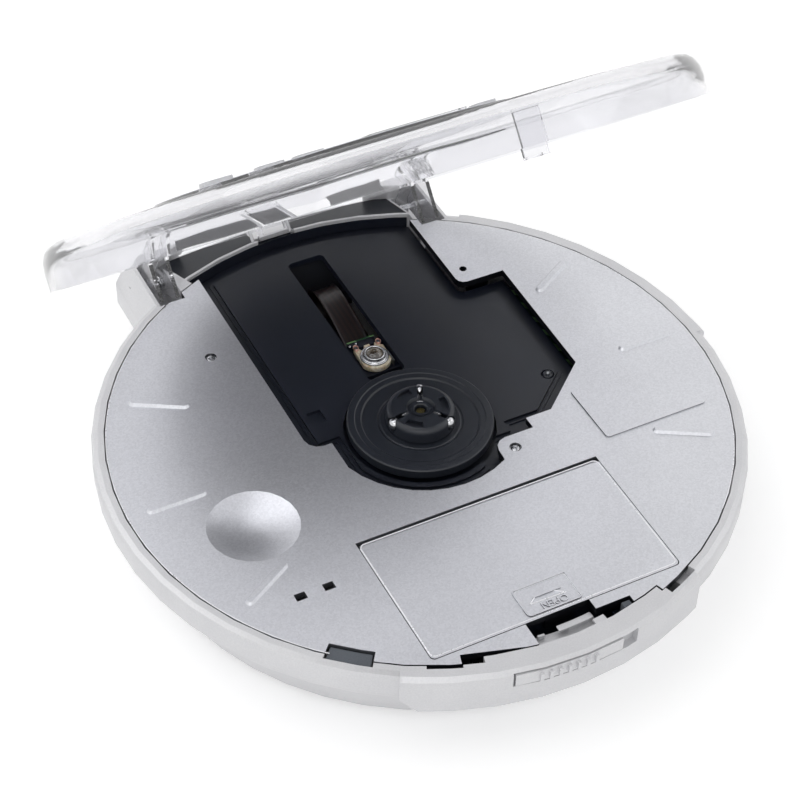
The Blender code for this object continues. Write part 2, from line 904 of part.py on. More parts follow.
def hinge_block():
    """Trapezoid block behind the dish, narrowed at its rear edge."""

    def section(y, narrowing):
        low = HINGE_LOW_HALF - narrowing
        top = HINGE_TOP_HALF - narrowing
        half = [(low, HINGE_BOTTOM + narrowing / 2), (low, HINGE_KNEE), (top, PANEL_TOP)]
        outline = half + [(-x, z) for x, z in reversed(half)]
        return along("Y", outline, y)

    sections = [
        section(HINGE_FRONT, 0.0),
        section(HINGE_BACK - HINGE_EDGE, 0.0),
        section(HINGE_BACK - HINGE_EDGE / 3, HINGE_EDGE / 3),
        section(HINGE_BACK, HINGE_EDGE),
    ]
    return loft("hinge_block", sections)


def hinge_shelf():
    """Room above the sloping shelf, behind the thin rim line."""
    profile = [
        (SHELF_RADIUS, PANEL_TOP - SHELF_DROP),
        (SHELF_END_RADIUS, PANEL_TOP - SHELF_END_DROP),
        (SHELF_END_RADIUS, PANEL_TOP + OVERRUN),
        (SHELF_RADIUS, PANEL_TOP + OVERRUN),
    ]
    return swept("hinge_shelf", lambda angle: profile, BAY_SECTOR_START, BAY_SECTOR_END)


def hinge_rooms():
    """Slots for the lid's arms, the hollow between them and the lid tab's recess."""
    rooms = []
    for side in (-1, 1):
        sides = sorted((side * SLOT_INNER, side * SLOT_OUTER))
        front = SLOT_FRONT - CLEARANCE
        heights = (SLOT_FLOOR, PANEL_TOP + OVERRUN)
        rooms.append(box("arm_slot", sides, (front, SLOT_BACK), heights))
    hollow = (HOLLOW_BOTTOM, HOLLOW_TOP)
    rooms.append(box("hollow", (-HOLLOW_HALF, HOLLOW_HALF), (HOLLOW_FRONT, HOLLOW_BACK), hollow))
    recess = (TAB_LEFT - RECESS_MARGIN, TAB_RIGHT + RECESS_MARGIN)
    heights = (RECESS_FLOOR, PANEL_TOP + OVERRUN)
    rooms.append(box("tab_recess", recess, (TAB_FRONT, RECESS_BACK), heights))
    return rooms


def pin_bores():
    """Blind bores for the hinge pins, open at the hollow between the slots."""
    bores = []
    for side in (-1, 1):
        ends = sorted((side * (PIN_INNER - CLEARANCE), side * (PIN_OUTER + CLEARANCE)))
        bores.append(rod("pin_bore", (PIVOT_Y, PIVOT_Z), PIN_RADIUS + CLEARANCE, *ends, axis="X"))
    return bores


def screw_bores():
    """Head recess and shank bore for each screw that comes up through the floor."""
    bores = []
    for angle in BOSS_ANGLES:
        spot = polar(BOSS_PITCH_RADIUS, angle)
        head = SCREW_HEAD_RADIUS + CLEARANCE
        bores.append(rod("screw_head_room", spot, head, -OVERRUN, SCREW_DEPTH + CLEARANCE))
        bores.append(rod("screw_bore", spot, SCREW_BORE, 0.0, POST_HEIGHT + OVERRUN, steps=BORE_STEPS))
    for angle in FOOT_ANGLES:
        spot = polar(FOOT_PITCH_RADIUS, angle)
        bores.append(rod("foot_room", spot, FOOT_RADIUS + CLEARANCE, -OVERRUN, FOOT_RECESS))
    for spot in PANEL_SCREWS:
        low = seat_height() - PANEL_POST_PILOT
        radius = PANEL_SCREW_SHANK + CLEARANCE
        bores.append(rod("pilot", spot, radius, low, PANEL_TOP, steps=BORE_STEPS))
    return bores


def floor_posts():
    """Everything that stands on the floor of the case."""
    root = FLOOR - OVERLAP
    posts = []
    for angle in BOSS_ANGLES:
        posts.append(rod("screw_post", polar(BOSS_PITCH_RADIUS, angle), POST_RADIUS, root, POST_HEIGHT))
    for spot in DAMPER_CENTRES:
        shoulder = DAMPER_BOTTOM - CLEARANCE
        pin_top = DECK_TOP - DECK_THICK - 2 * CLEARANCE
        profile = [
            (0.0, root),
            (DAMPER_WAIST, root),
            (DAMPER_WAIST, shoulder),
            (DAMPER_PIN, shoulder),
            (DAMPER_PIN, pin_top),
            (0.0, pin_top),
        ]
        posts.append(turned("damper_post", profile, spot, SMALL_STEPS))
    locator_shoulder = DECK_TOP - DECK_THICK - DECK_SKIRT - CLEARANCE
    profile = [
        (0.0, root),
        (LOCATOR_FOOT, root),
        (LOCATOR_FOOT, locator_shoulder),
        (LOCATOR_RADIUS, locator_shoulder),
        (LOCATOR_RADIUS, DECK_TOP - FIT),
        (0.0, DECK_TOP - FIT),
    ]
    posts.append(turned("locator", profile, (LOCATOR_X, LOCATOR_Y), SMALL_STEPS))
    for spot in BOARD_POSTS:
        posts.append(rod("board_post", spot, BOARD_POST_RADIUS, root, BOARD_BOTTOM - CLEARANCE))
    for spot in PANEL_SCREWS:
        posts.append(rod("panel_post", spot, PANEL_POST_RADIUS, root, seat_height()))
    return posts


def front_flange():
    rim = PANEL_RADIUS + CLEARANCE + OVERLAP
    inner = FRONT_EDGE_RADIUS + CLEARANCE
    low = PANEL_TOP - PANEL_THICK
    gap = FIT / inner * 180.0 / math.pi
    return sector("front_flange", inner, rim, low, PANEL_TOP, FRONT_START + gap, FRONT_END - gap)


def side_openings():
    """Holes in the right block for the two sockets, the wheel and the hold switch."""
    openings = []
    nose = JACK_NOSE + CLEARANCE
    for angle in (DC_ANGLE, PHONES_ANGLE):
        ends = (JACK_SHOULDER - 4 * FIT, BULGE_RADIUS + OVERRUN)
        hole = rod("socket_hole", (0.0, JACK_Z), nose, *ends, "X")
        hole.data.transform(Matrix.Rotation(math.radians(angle), 4, "Z"))
        openings.append(hole)
    wheel = polar(WHEEL_CENTRE, VOLUME_ANGLE)
    low = WHEEL_BOTTOM - CLEARANCE
    high = WHEEL_TOP + CLEARANCE
    openings.append(rod("wheel_slot", wheel, WHEEL_RADIUS + FIT, low, high, steps=WHEEL_TEETH))
    reach = HOLD_HALF_ANGLE + HOLD_TRAVEL + HOLD_LIP_ANGLE / 4
    half = HOLD_HALF_HEIGHT + CLEARANCE
    ends = (HOLD_ANGLE - reach, HOLD_ANGLE + reach)
    inner = SIDE_POCKET_RADIUS - OVERLAP
    outer = BULGE_RADIUS + OVERRUN
    openings.append(sector("hold_slot", inner, outer, HOLD_Z - half, HOLD_Z + half, *ends))
    return openings


def latch_openings():
    """Groove and stem slot of the slide switch, and the cut-outs in the flange."""
    openings = []
    gap = FIT / KNOB_INNER * 180.0 / math.pi
    low = KNOB_BOTTOM - CLEARANCE
    high = KNOB_TOP + CLEARANCE
    ends = (SWITCH_START - gap, SWITCH_END + SWITCH_TRAVEL + gap)
    openings.append(sector("groove", GROOVE_RADIUS, BULGE_RADIUS + OVERRUN, low, high, *ends))
    ends = (STEM_START - gap, STEM_END + SWITCH_TRAVEL + gap)
    low = STEM_BOTTOM - CLEARANCE
    high = STEM_TOP + CLEARANCE
    inner = FRONT_POCKET_RADIUS - OVERLAP
    openings.append(sector("stem_slot", inner, GROOVE_RADIUS + OVERLAP, low, high, *ends))
    top = PANEL_TOP + OVERRUN
    ends = (LEFT_NOTCH_START, LEFT_NOTCH_END)
    openings.append(sector("left_notch", POCKET_INNER, LEFT_NOTCH_RADIUS, NOTCH_FLOOR, top, *ends))
    ends = (THIN_NOTCH_START, THIN_NOTCH_END)
    openings.append(sector("thin_notch", POCKET_INNER, THIN_NOTCH_RADIUS, NOTCH_FLOOR, top, *ends))
    grow = FIT / BUMPER_INNER * 180.0 / math.pi
    ends = (BUMPER_START - grow, BUMPER_END + grow)
    inner = ledge_radius() - OVERLAP
    low = BUMPER_BOTTOM - CLEARANCE
    openings.append(sector("bumper_room", inner, BUMPER_OUTER + CLEARANCE, low, top, *ends))
    return openings


def lower_case():
    case = turned("lower_case", case_profile())
    fuse(case, [front_bulge(), side_block(), hinge_block()])
    ends = (BULGE_START + END_WALL_ANGLE, BULGE_END - END_WALL_ANGLE)
    pocket = (POCKET_INNER, FRONT_POCKET_RADIUS, POCKET_FLOOR, FRONT_POCKET_TOP)
    front_pocket = sector("front_pocket", *pocket, *ends)
    ends = (SIDE_START + END_WALL_ANGLE, SIDE_END - END_WALL_ANGLE)
    pocket = (POCKET_INNER, SIDE_POCKET_RADIUS, POCKET_FLOOR, SIDE_POCKET_TOP)
    side_pocket = sector("side_pocket", *pocket, *ends)
    ends = (BAY_SECTOR_START, BAY_SECTOR_END)
    room = (POCKET_INNER, BAY_BACK_RADIUS, BAY_SECTOR_FLOOR, PANEL_TOP + OVERRUN)
    bay_room = sector("bay_room", *room, *ends)
    corner_x, corner_y = polar(BAY_BACK_RADIUS, BAY_RIGHT_ANGLE)
    sides = (corner_x - LEDGE_DEPTH, corner_x + BAY_SIDE_ROOM)
    depth = (HINGE_FRONT, corner_y - BAY_SIDE_ROOM / 2)
    side_room = box("side_room", sides, depth, (BAY_SECTOR_FLOOR, PANEL_TOP + OVERRUN))
    carve(case, [cavity(), front_pocket, side_pocket, bay_room, side_room, hinge_shelf()])
    carve(case, hinge_rooms())
    fuse(case, [front_flange()] + floor_posts())
    carve(case, pin_bores() + screw_bores() + side_openings() + latch_openings())
    return finish(case, silver_paint)


# Top panel


def panel_outline():
    outline = facet_arc(PANEL_RADIUS, FRONT_END, FRONT_START + 360.0)
    return outline + facet_arc(FRONT_EDGE_RADIUS, FRONT_START, FRONT_END)


def bay_corners():
    """Corners of the mechanism bay with their roundings, from the right end of its back."""

    def scaled(shares):
        return [tuple(share * PANEL_RADIUS for share in corner) for corner in shares]

    centre = (0.0, 0.0)
    back = arc(centre, BAY_BACK_RADIUS, BAY_RIGHT_ANGLE, BAY_LEFT_ANGLE, BAY_ARC_STEPS)
    front = arc(centre, BAY_FRONT_RADIUS, BAY_FRONT_START, BAY_FRONT_END, BAY_ARC_STEPS)
    corners = [(x, y, 0.0) for x, y in back]
    corners += scaled(BAY_LEFT_SHARES)
    corners += [(x, y, 0.0) for x, y in front]
    return corners + scaled(BAY_RIGHT_SHARES)


def panel_rib(angle):
    """Round-ended rib that points at the spindle, narrowing to its top."""

    def outline(half, level):
        points = arc((RIB_OUTER - RIB_HALF, 0.0), half, -90.0, 90.0, RIB_STEPS)
        points += arc((RIB_INNER + RIB_HALF, 0.0), half, 90.0, 270.0, RIB_STEPS)
        return along("Z", points, level)

    low = outline(RIB_HALF, PANEL_TOP - PANEL_THICK / 2)
    edge = outline(RIB_HALF, PANEL_TOP)
    high = outline(RIB_HALF - RIB_TAPER, PANEL_TOP + RIB_HEIGHT)
    rib = loft("rib", [low, edge, high])
    rib.data.transform(Matrix.Rotation(math.radians(angle), 4, "Z"))
    return rib


def finger_dish():
    """Cap of the sphere that meets the panel at the dish's edge."""
    sphere = (FINGER_RADIUS**2 + FINGER_DEPTH**2) / (2 * FINGER_DEPTH)
    centre_z = PANEL_TOP - FINGER_DEPTH + sphere
    half_angle = math.asin(FINGER_RADIUS / sphere)
    profile = []
    for step in range(FINGER_STEPS + 1):
        angle = half_angle * step / FINGER_STEPS
        profile.append((sphere * math.sin(angle), centre_z - sphere * math.cos(angle)))
    profile[0] = (0.0, PANEL_TOP - FINGER_DEPTH)
    profile += [(FINGER_RADIUS, PANEL_TOP + OVERRUN), (0.0, PANEL_TOP + OVERRUN)]
    return turned("finger_dish", profile, (DISH_X, DISH_Y), DISH_STEPS)


def panel_additions():
    root = PANEL_TOP - PANEL_THICK + OVERLAP
    added = [panel_rib(angle) for angle in RIB_ANGLES]
    spot = (DISH_X, DISH_Y)
    added.append(rod("dish_boss", spot, FINGER_BOSS_RADIUS, FINGER_BOSS_BOTTOM, root, steps=DISH_STEPS))
    x, y = PLATE_CENTRE
    sides = (x - PLATE_WIDTH / 2, x + PLATE_WIDTH / 2, y - PLATE_LENGTH / 2, y + PLATE_LENGTH / 2)
    outline = rectangle(*sides, PLATE_ROUND)
    added.append(prism("bare_plate", outline, root, PANEL_TOP + PLATE_RISE))
    for angle in BOSS_ANGLES:
        spot = polar(BOSS_PITCH_RADIUS, angle)
        added.append(rod("boss", spot, BOSS_RADIUS, POST_HEIGHT + CLEARANCE, root))
    return added


def door_opening():
    """Outline of the opening that the battery door closes."""
    left = DOOR_LEFT - DOOR_SIDE_GAP
    right = DOOR_RIGHT + DOOR_SIDE_GAP
    front = DOOR_FRONT - DOOR_SIDE_GAP
    back = DOOR_AXIS_Y + DOOR_BARREL + DOOR_BACK_GAP
    outline = rectangle(left, right, front, back + DOOR_CORNER, DOOR_CORNER)
    return list(dict.fromkeys((x, min(y, back)) for x, y in outline))


def door_sockets():
    """Sockets for the door's pins, open below and closed by the panel's skin above."""
    axis_z = PANEL_TOP - DOOR_AXIS_DROP
    sides = (DOOR_AXIS_Y - DOOR_SOCKET_HALF, DOOR_AXIS_Y + DOOR_SOCKET_HALF)
    heights = (PANEL_TOP - PANEL_THICK - OVERRUN, axis_z + DOOR_PIN_RADIUS + CLEARANCE / 2)
    left = (DOOR_LEFT - DOOR_SOCKET_DEPTH, DOOR_LEFT + OVERLAP)
    right = (DOOR_RIGHT - OVERLAP, DOOR_RIGHT + DOOR_SOCKET_DEPTH)
    return [box("socket", left, sides, heights), box("socket", right, sides, heights)]


def panel_cuts():
    low = PANEL_TOP - PANEL_THICK - OVERRUN
    high = PANEL_TOP + OVERRUN
    cuts = [prism("bay", rounded(bay_corners()), low, high)]
    cuts.append(prism("door_hole", door_opening(), low, high))
    cuts += door_sockets()
    for x, y in HOLE_CENTRES:
        sides = (x - HOLE_WIDTH / 2, x + HOLE_WIDTH / 2)
        cuts.append(box("square_hole", sides, (y - HOLE_DEPTH / 2, y + HOLE_DEPTH / 2), (low, high)))
    for side in (-1, 1):
        sides = sorted((side * SLOT_INNER, side * SLOT_OUTER))
        cuts.append(box("arm_slot", sides, (SLOT_FRONT, PANEL_RADIUS), (low, high)))
    wedge = [(x * PANEL_RADIUS, y * PANEL_RADIUS) for x, y in WEDGE_SHARES]
    cuts.append(prism("wedge", wedge, low, high))
    sides = (LATCH_WINDOW_LEFT, LATCH_WINDOW_RIGHT)
    front = -PANEL_RADIUS - OVERRUN
    cuts.append(box("latch_window", sides, (front, DOOR_FRONT + OVERLAP), (low, high)))
    sides = (LATCH_WINDOW_RIGHT - OVERLAP, RIGHT_WINDOW_RIGHT)
    cuts.append(box("right_window", sides, (front, RIGHT_WINDOW_BACK), (low, high)))
    cuts.append(rod("eye", (EYE_X, EYE_Y), EYE_RADIUS, low, high, steps=BORE_STEPS))
    for spot in PANEL_SCREWS:
        sunk = PANEL_TOP - PANEL_SCREW_SUNK
        cuts.append(rod("head_room", spot, PANEL_SCREW_HEAD + CLEARANCE, sunk, high))
        cuts.append(rod("shank_hole", spot, PANEL_SCREW_SHANK + CLEARANCE, low, high, steps=BORE_STEPS))
    bumper_gap = FIT / BUMPER_INNER * 180.0 / math.pi
    ends = (BUMPER_START - bumper_gap, BUMPER_END + bumper_gap)
    outer = PANEL_RADIUS + OVERRUN
    cuts.append(sector("bumper_room", BUMPER_INNER - CLEARANCE, outer, low, high, *ends))
    return cuts


def pilot_holes():
    low = POST_HEIGHT
    return [
        rod("pilot", polar(BOSS_PITCH_RADIUS, angle), SCREW_BORE, low, low + PILOT_DEPTH, steps=BORE_STEPS)
        for angle in BOSS_ANGLES
    ]


def top_panel():
    panel = prism("top_panel", panel_outline(), PANEL_TOP - PANEL_THICK, PANEL_TOP)
    fuse(panel, panel_additions())
    carve(panel, panel_cuts() + [finger_dish()] + pilot_holes())
    return finish(panel, silver_paint)


# Battery bay


def cell_rows():
    """Centres along Y of the two cells that lie side by side."""
    first = TRAY_BACK - CELL_RADIUS - CELL_FIT
    return (first, first - 2 * CELL_RADIUS)


def tray_shell(gap):
    """What the case's wall leaves for the tray, drawn in by a gap."""
    top = TRAY_TOP + OVERRUN
    return turned("tray_shell", cavity_profile(gap) + [(ledge_radius() - gap, top), (0.0, top)])


def battery_tray():
    front = cell_rows()[1] - CELL_RADIUS - CELL_FIT
    outer = (TRAY_LEFT - TRAY_WALL, TRAY_RIGHT + TRAY_WALL)
    tray = box("battery_tray", outer, (front - TRAY_WALL, TRAY_BACK + TRAY_WALL), (TRAY_BOTTOM, TRAY_TOP))
    shell = cavity_profile(CLEARANCE) + [(0.0, seat_height())]
    keep_inside(tray, turned("shell", shell))
    radius = CELL_RADIUS + CELL_FIT
    room = rod("row", (cell_rows()[0], CELL_Z), radius, TRAY_LEFT, TRAY_RIGHT, "X", CELL_STEPS)
    second = rod("row", (cell_rows()[1], CELL_Z), radius, TRAY_LEFT, TRAY_RIGHT, "X", CELL_STEPS)
    upper = box("upper", (TRAY_LEFT, TRAY_RIGHT), (front, TRAY_BACK), (CELL_Z, TRAY_TOP + OVERRUN))
    fuse(room, [second, upper])
    shell = cavity_profile(CLEARANCE + TRAY_SHELL) + [(ledge_radius(), PANEL_TOP), (0.0, PANEL_TOP)]
    keep_inside(room, turned("shell", shell))
    carve(tray, [room])
    return finish(tray, black_plastic)


def contact_plate(name, rows, wall_x, inward, reach):
    """Thin plate against an end wall, with a bump toward each cell that it touches."""
    near = wall_x + inward * CLEARANCE
    far = near + inward * CONTACT_THICK
    plate = rod(name, (rows[0], CELL_Z), CONTACT_DISC, *sorted((near, far)), "X")
    others = [
        rod("disc", (row, CELL_Z), CONTACT_DISC, *sorted((near, far)), "X") for row in rows[1:]
    ]
    if len(rows) > 1:
        low = CELL_Z - CONTACT_LINK_HALF
        high = CELL_Z + CONTACT_LINK_HALF
        others.append(box("link", sorted((near, far)), (rows[1], rows[0]), (low, high)))
    for row in rows:
        root = near + inward * CONTACT_THICK / 2
        tip = far + inward * reach
        base = along("X", circle((row, CELL_Z), CONTACT_BUMP, BORE_STEPS), root)
        end = along("X", circle((row, CELL_Z), CONTACT_BUMP_TIP, BORE_STEPS), tip)
        others.append(loft("bump", [base, end]))
    fuse(plate, others)
    keep_inside(plate, tray_shell(2 * CLEARANCE + TRAY_SHELL))
    return finish(plate, bright_steel)


def battery_contacts():
    rows = cell_rows()
    contact_plate("battery_link_contact", rows, TRAY_LEFT, 1, CONTACT_REACH)
    contact_plate("battery_plus_contact", rows[:1], TRAY_RIGHT, -1, CONTACT_REACH)
    contact_plate("battery_minus_contact", rows[1:], TRAY_RIGHT, -1, LEAF_REACH)


def battery_door():
    axis_z = PANEL_TOP - DOOR_AXIS_DROP
    low = PANEL_TOP - PANEL_THICK
    outline = rectangle(DOOR_LEFT, DOOR_RIGHT, DOOR_FRONT, DOOR_BACK + DOOR_CORNER, DOOR_CORNER)
    outline = [(x, min(y, DOOR_BACK)) for x, y in outline]
    outline = list(dict.fromkeys(outline))
    door = prism("battery_door", outline, low, PANEL_TOP)
    axis = (DOOR_AXIS_Y, axis_z)
    barrel = rod("barrel", axis, DOOR_BARREL, DOOR_LEFT + CLEARANCE, DOOR_RIGHT - CLEARANCE, "X")
    ends = (DOOR_LEFT - DOOR_PIN_LENGTH, DOOR_RIGHT + DOOR_PIN_LENGTH)
    pins = rod("pins", axis, DOOR_PIN_RADIUS, *ends, "X", BORE_STEPS)
    front = DOOR_FRONT + TAB_MARGIN
    tab = (TAB_CENTRE_X - TAB_WIDTH / 2, TAB_CENTRE_X + TAB_WIDTH / 2)
    raised = prism(
        "tab_line",
        rectangle(*tab, front, front + TAB_LENGTH, DOOR_CORNER),
        PANEL_TOP - OVERLAP,
        PANEL_TOP + TAB_RISE,
    )
    depth = (front + TAB_LINE, front + TAB_LENGTH - TAB_LINE)
    inner = rectangle(tab[0] + TAB_LINE, tab[1] - TAB_LINE, *depth)
    carve(raised, [prism("tab_inside", inner, PANEL_TOP - PANEL_THICK, PANEL_TOP + OVERRUN)])
    tip = front + TAB_LENGTH - 2 * TAB_LINE
    arrow = [
        (TAB_CENTRE_X - ARROW_HALF, tip - ARROW_LENGTH),
        (TAB_CENTRE_X + ARROW_HALF, tip - ARROW_LENGTH),
        (TAB_CENTRE_X, tip),
    ]
    arrow = prism("arrow", arrow, PANEL_TOP - OVERLAP, PANEL_TOP + TAB_RISE)
    sides = (-TONGUE_HALF, TONGUE_HALF)
    depth = (DOOR_FRONT + DOOR_SIDE_GAP, DOOR_FRONT + DOOR_SIDE_GAP + TONGUE_THICK)
    tongue = box("tongue", sides, depth, (low - TONGUE_DROP, low + OVERLAP))
    fuse(door, [barrel, pins, raised, arrow, tongue])
    return finish(door, silver_paint, (0.0, DOOR_AXIS_Y, axis_z))


# Mechanism


def guide_lug_back():
    return BAY_BACK_RADIUS - GUIDE_LUG_INSET


def screw_lug_back():
    return BAY_BACK_RADIUS - SCREW_LUG_INSET


def deck_lugs():
    """Brackets under the deck that hold the ends of the guide rod and the feed screw."""
    top = DECK_TOP - DECK_THICK + OVERLAP
    lugs = []
    for x, back in ((GUIDE_X, guide_lug_back()), (SCREW_X, screw_lug_back())):
        for front in (LUG_FRONT, back):
            sides = (x - LUG_HALF, x + LUG_HALF)
            lugs.append(box("lug", sides, (front, front + LUG_THICK), (LUG_BOTTOM, top)))
    return lugs


def lug_bores():
    bores = []
    ends = (LUG_FRONT - OVERRUN, guide_lug_back() + LUG_THICK + OVERRUN)
    for x, radius in ((GUIDE_X, GUIDE_RADIUS), (SCREW_X, FEED_RADIUS)):
        bores.append(rod("bore", (x, GUIDE_Z), radius + GUIDE_BORE_GAP, *ends, "Y", BORE_STEPS))
    return bores


def mechanism_deck():
    corners = bay_corners()
    underside = DECK_TOP - DECK_THICK
    step_top = DECK_TOP - DECK_STEP_HEIGHT
    deck = prism("mechanism_deck", rounded(inset(corners, DECK_GAP)), underside, step_top)
    raised = prism("raised", rounded(inset(corners, DECK_GAP + DECK_STEP)), step_top - OVERLAP, DECK_TOP)
    skirt_bottom = underside - DECK_SKIRT
    skirt = prism("skirt", rounded(inset(corners, DECK_GAP)), skirt_bottom, underside + OVERLAP)
    hollow = rounded(inset(corners, DECK_GAP + DECK_WALL))
    carve(skirt, [prism("hollow", hollow, skirt_bottom - OVERRUN, underside + OVERRUN)])
    flange_top = step_top - DECK_FLANGE_DROP
    flange = prism("flange", rounded(inset(corners, -DECK_FLANGE)), underside, flange_top)
    limit = rod("limit", (0.0, 0.0), BAY_BACK_RADIUS - DECK_BACK_GAP, 0.0, PANEL_TOP, steps=ROUND_STEPS)
    keep_inside(flange, limit)
    cup_radius = WELL_RADIUS + CUP_WALL
    well_floor = DECK_TOP - WELL_DEPTH
    heights = (well_floor - CUP_WALL, underside + OVERLAP)
    cup = rod("cup", (0.0, 0.0), cup_radius, *heights, steps=WELL_STEPS)
    fuse(deck, [raised, skirt, flange, cup] + deck_lugs())
    top = DECK_TOP + OVERRUN
    well = rod("well", (0.0, 0.0), WELL_RADIUS, well_floor, top, steps=WELL_STEPS)
    bore = rod("shaft_hole", (0.0, 0.0), SHAFT_BORE + CLEARANCE, skirt_bottom - OVERRUN, top)
    slot_back = BAY_BACK_RADIUS - LENS_SLOT_INSET
    slot = (LENS_SLOT_LEFT, LENS_SLOT_RIGHT, LENS_SLOT_FRONT, slot_back, LENS_SLOT_ROUND)
    slot = prism("lens_slot", rectangle(*slot), well_floor + OVERLAP, top)
    recess = box(
        "recess",
        (RECESS_X - RECESS_WIDTH / 2, RECESS_X + RECESS_WIDTH / 2),
        (RECESS_Y - RECESS_LENGTH / 2, RECESS_Y + RECESS_LENGTH / 2),
        (DECK_TOP - RECESS_DEPTH, top),
    )
    locator = rod("locator_hole", (LOCATOR_X, LOCATOR_Y), LOCATOR_HOLE, skirt_bottom, top)
    carve(deck, [well, bore, slot, recess, locator] + lug_bores())
    return finish(deck, black_plastic)


def dampers():
    for number, spot in enumerate(DAMPER_CENTRES, 1):
        top = DECK_TOP - DECK_THICK - CLEARANCE
        rise = (top - DAMPER_BOTTOM) / 4
        profile = [
            (DAMPER_BORE, DAMPER_BOTTOM),
            (DAMPER_RADIUS, DAMPER_BOTTOM),
            (DAMPER_RADIUS, DAMPER_BOTTOM + rise),
            (DAMPER_WAIST, DAMPER_BOTTOM + 2 * rise),
            (DAMPER_RADIUS, DAMPER_BOTTOM + 3 * rise),
            (DAMPER_RADIUS, top),
            (DAMPER_BORE, top),
        ]
        finish(turned(f"damper_{number}", profile, spot, SMALL_STEPS), grey_rubber)


def spindle_motor():
    top = DECK_TOP - WELL_DEPTH - CUP_WALL - CLEARANCE
    bottom = top - MOTOR_HEIGHT
    bore_bottom = SHAFT_BOTTOM - CLEARANCE
    profile = [
        (0.0, bottom),
        (MOTOR_RADIUS - MOTOR_EDGE, bottom),
        (MOTOR_RADIUS, bottom + MOTOR_EDGE),
        (MOTOR_RADIUS, top - MOTOR_EDGE),
        (MOTOR_RADIUS - MOTOR_EDGE, top),
        (SHAFT_BORE, top),
        (SHAFT_BORE, bore_bottom),
        (0.0, bore_bottom),
    ]
    return finish(turned("spindle_motor", profile, steps=MOTOR_STEPS), bright_steel)


def turntable():
    top = PANEL_TOP
    underside = top - TURNTABLE_THICK
    boss_bottom = underside - TURNTABLE_BOSS_DROP
    dip = top - TURNTABLE_DIP
    profile = [
        (SHAFT_BORE, boss_bottom),
        (TURNTABLE_BOSS, boss_bottom),
        (TURNTABLE_BOSS, underside),
        (TURNTABLE_RADIUS, underside),
        (TURNTABLE_RADIUS, top - TURNTABLE_EDGE),
        (TURNTABLE_RADIUS - TURNTABLE_EDGE, top),
        (TURNTABLE_RING, top),
        (TURNTABLE_RING - TURNTABLE_EDGE, dip),
        (SHAFT_BORE, dip),
    ]
    return finish(turned("turntable", profile, steps=TURNTABLE_STEPS), black_plastic)


def hub_bottom():
    return PANEL_TOP - TURNTABLE_DIP + CLEARANCE


def clamp_hub():
    top = PANEL_TOP + HUB_HEIGHT
    bottom = hub_bottom()
    profile = [
        (SHAFT_BORE, bottom),
        (HUB_RADIUS, bottom),
        (HUB_RADIUS, top - 2 * HUB_EDGE),
        (HUB_RADIUS - HUB_EDGE / 2, top - HUB_EDGE / 2),
        (HUB_RADIUS - HUB_EDGE * 3 / 2, top),
        (HUB_MOUTH, top),
        (HUB_MOUTH - HUB_EDGE / 2, top - HUB_DIP),
        (SHAFT_BORE, top - HUB_DIP),
    ]
    hub = turned("clamp_hub", profile, steps=HUB_STEPS)
    pockets = []
    for angle in BALL_ANGLES:
        ends = (BALL_POCKET_INNER, HUB_RADIUS + OVERRUN)
        pocket = rod("pocket", (0.0, PANEL_TOP + BALL_HEIGHT), BALL_POCKET, *ends, "X")
        pocket.data.transform(Matrix.Rotation(math.radians(angle), 4, "Z"))
        pockets.append(pocket)
    carve(hub, pockets)
    return finish(hub, black_plastic)


def clamp_balls():
    for number, angle in enumerate(BALL_ANGLES, 1):
        centre = polar(BALL_CENTRE, angle)
        z = PANEL_TOP + BALL_HEIGHT
        profile = []
        for x, y in arc((0.0, 0.0), BALL_RADIUS, -90.0, 90.0, BALL_STEPS):
            profile.append((x, z + y))
        profile[0] = (0.0, z - BALL_RADIUS)
        profile[-1] = (0.0, z + BALL_RADIUS)
        ball = turned(f"clamp_ball_{number}", profile, centre, BORE_STEPS)
        finish(ball, bright_steel, (*centre, z))


def spindle_shaft():
    top = PANEL_TOP + HUB_HEIGHT - HUB_DIP - CLEARANCE
    shaft = rod("spindle_shaft", (0.0, 0.0), SHAFT_RADIUS, SHAFT_BOTTOM, top)
    return finish(shaft, bright_steel)


def pickup_sled():
    """Carriage with a sleeve on the guide rod and a nut arm on the feed screw."""
    outline = rectangle(SLED_LEFT, SLED_RIGHT, SLED_FRONT, SLED_BACK, HOLDER_ROUND)
    sled = prism("pickup_sled", outline, SLED_BOTTOM, SLED_TOP)
    lug = (SLED_LUG_FRONT, SLED_LUG_BACK)
    heights = (GUIDE_Z - SLED_LUG_HALF, GUIDE_Z + SLED_LUG_HALF)
    sleeve = box("sleeve", (GUIDE_X - SLED_LUG_HALF, SLED_LEFT + OVERLAP), lug, heights)
    short = (SLED_LUG_FRONT, SLED_NUT_BACK)
    nut = box("nut", (SLED_RIGHT - OVERLAP, SCREW_X + SLED_LUG_HALF), short, heights)
    bridge = SLED_TOP - OVERLAP
    pillar = (HOLDER_LEFT + HOLDER_ROUND, HOLDER_RIGHT - HOLDER_ROUND)
    top = HOLDER_TOP - HOLDER_ROUND - CLEARANCE * 2
    post = box("post", pillar, (HOLDER_BACK + CLEARANCE, SLED_BACK), (bridge, top))
    fuse(sled, [sleeve, nut, post])
    well = rod("lens_well", (LENS_X, LENS_Y), LENS_BORE, SLED_TOP - OVERRUN, SLED_TOP + OVERRUN)
    carve(sled, lug_bores() + [well])
    return finish(sled, black_plastic)


def lens_holder():
    outline = rectangle(HOLDER_LEFT, HOLDER_RIGHT, HOLDER_FRONT, HOLDER_BACK, HOLDER_ROUND)
    holder = prism("lens_holder", outline, SLED_TOP + CLEARANCE, HOLDER_TOP)
    bore = rod("bore", (LENS_X, LENS_Y), LENS_BORE, SLED_TOP, HOLDER_TOP + OVERRUN)
    carve(holder, [bore])
    return finish(holder, white_plastic)


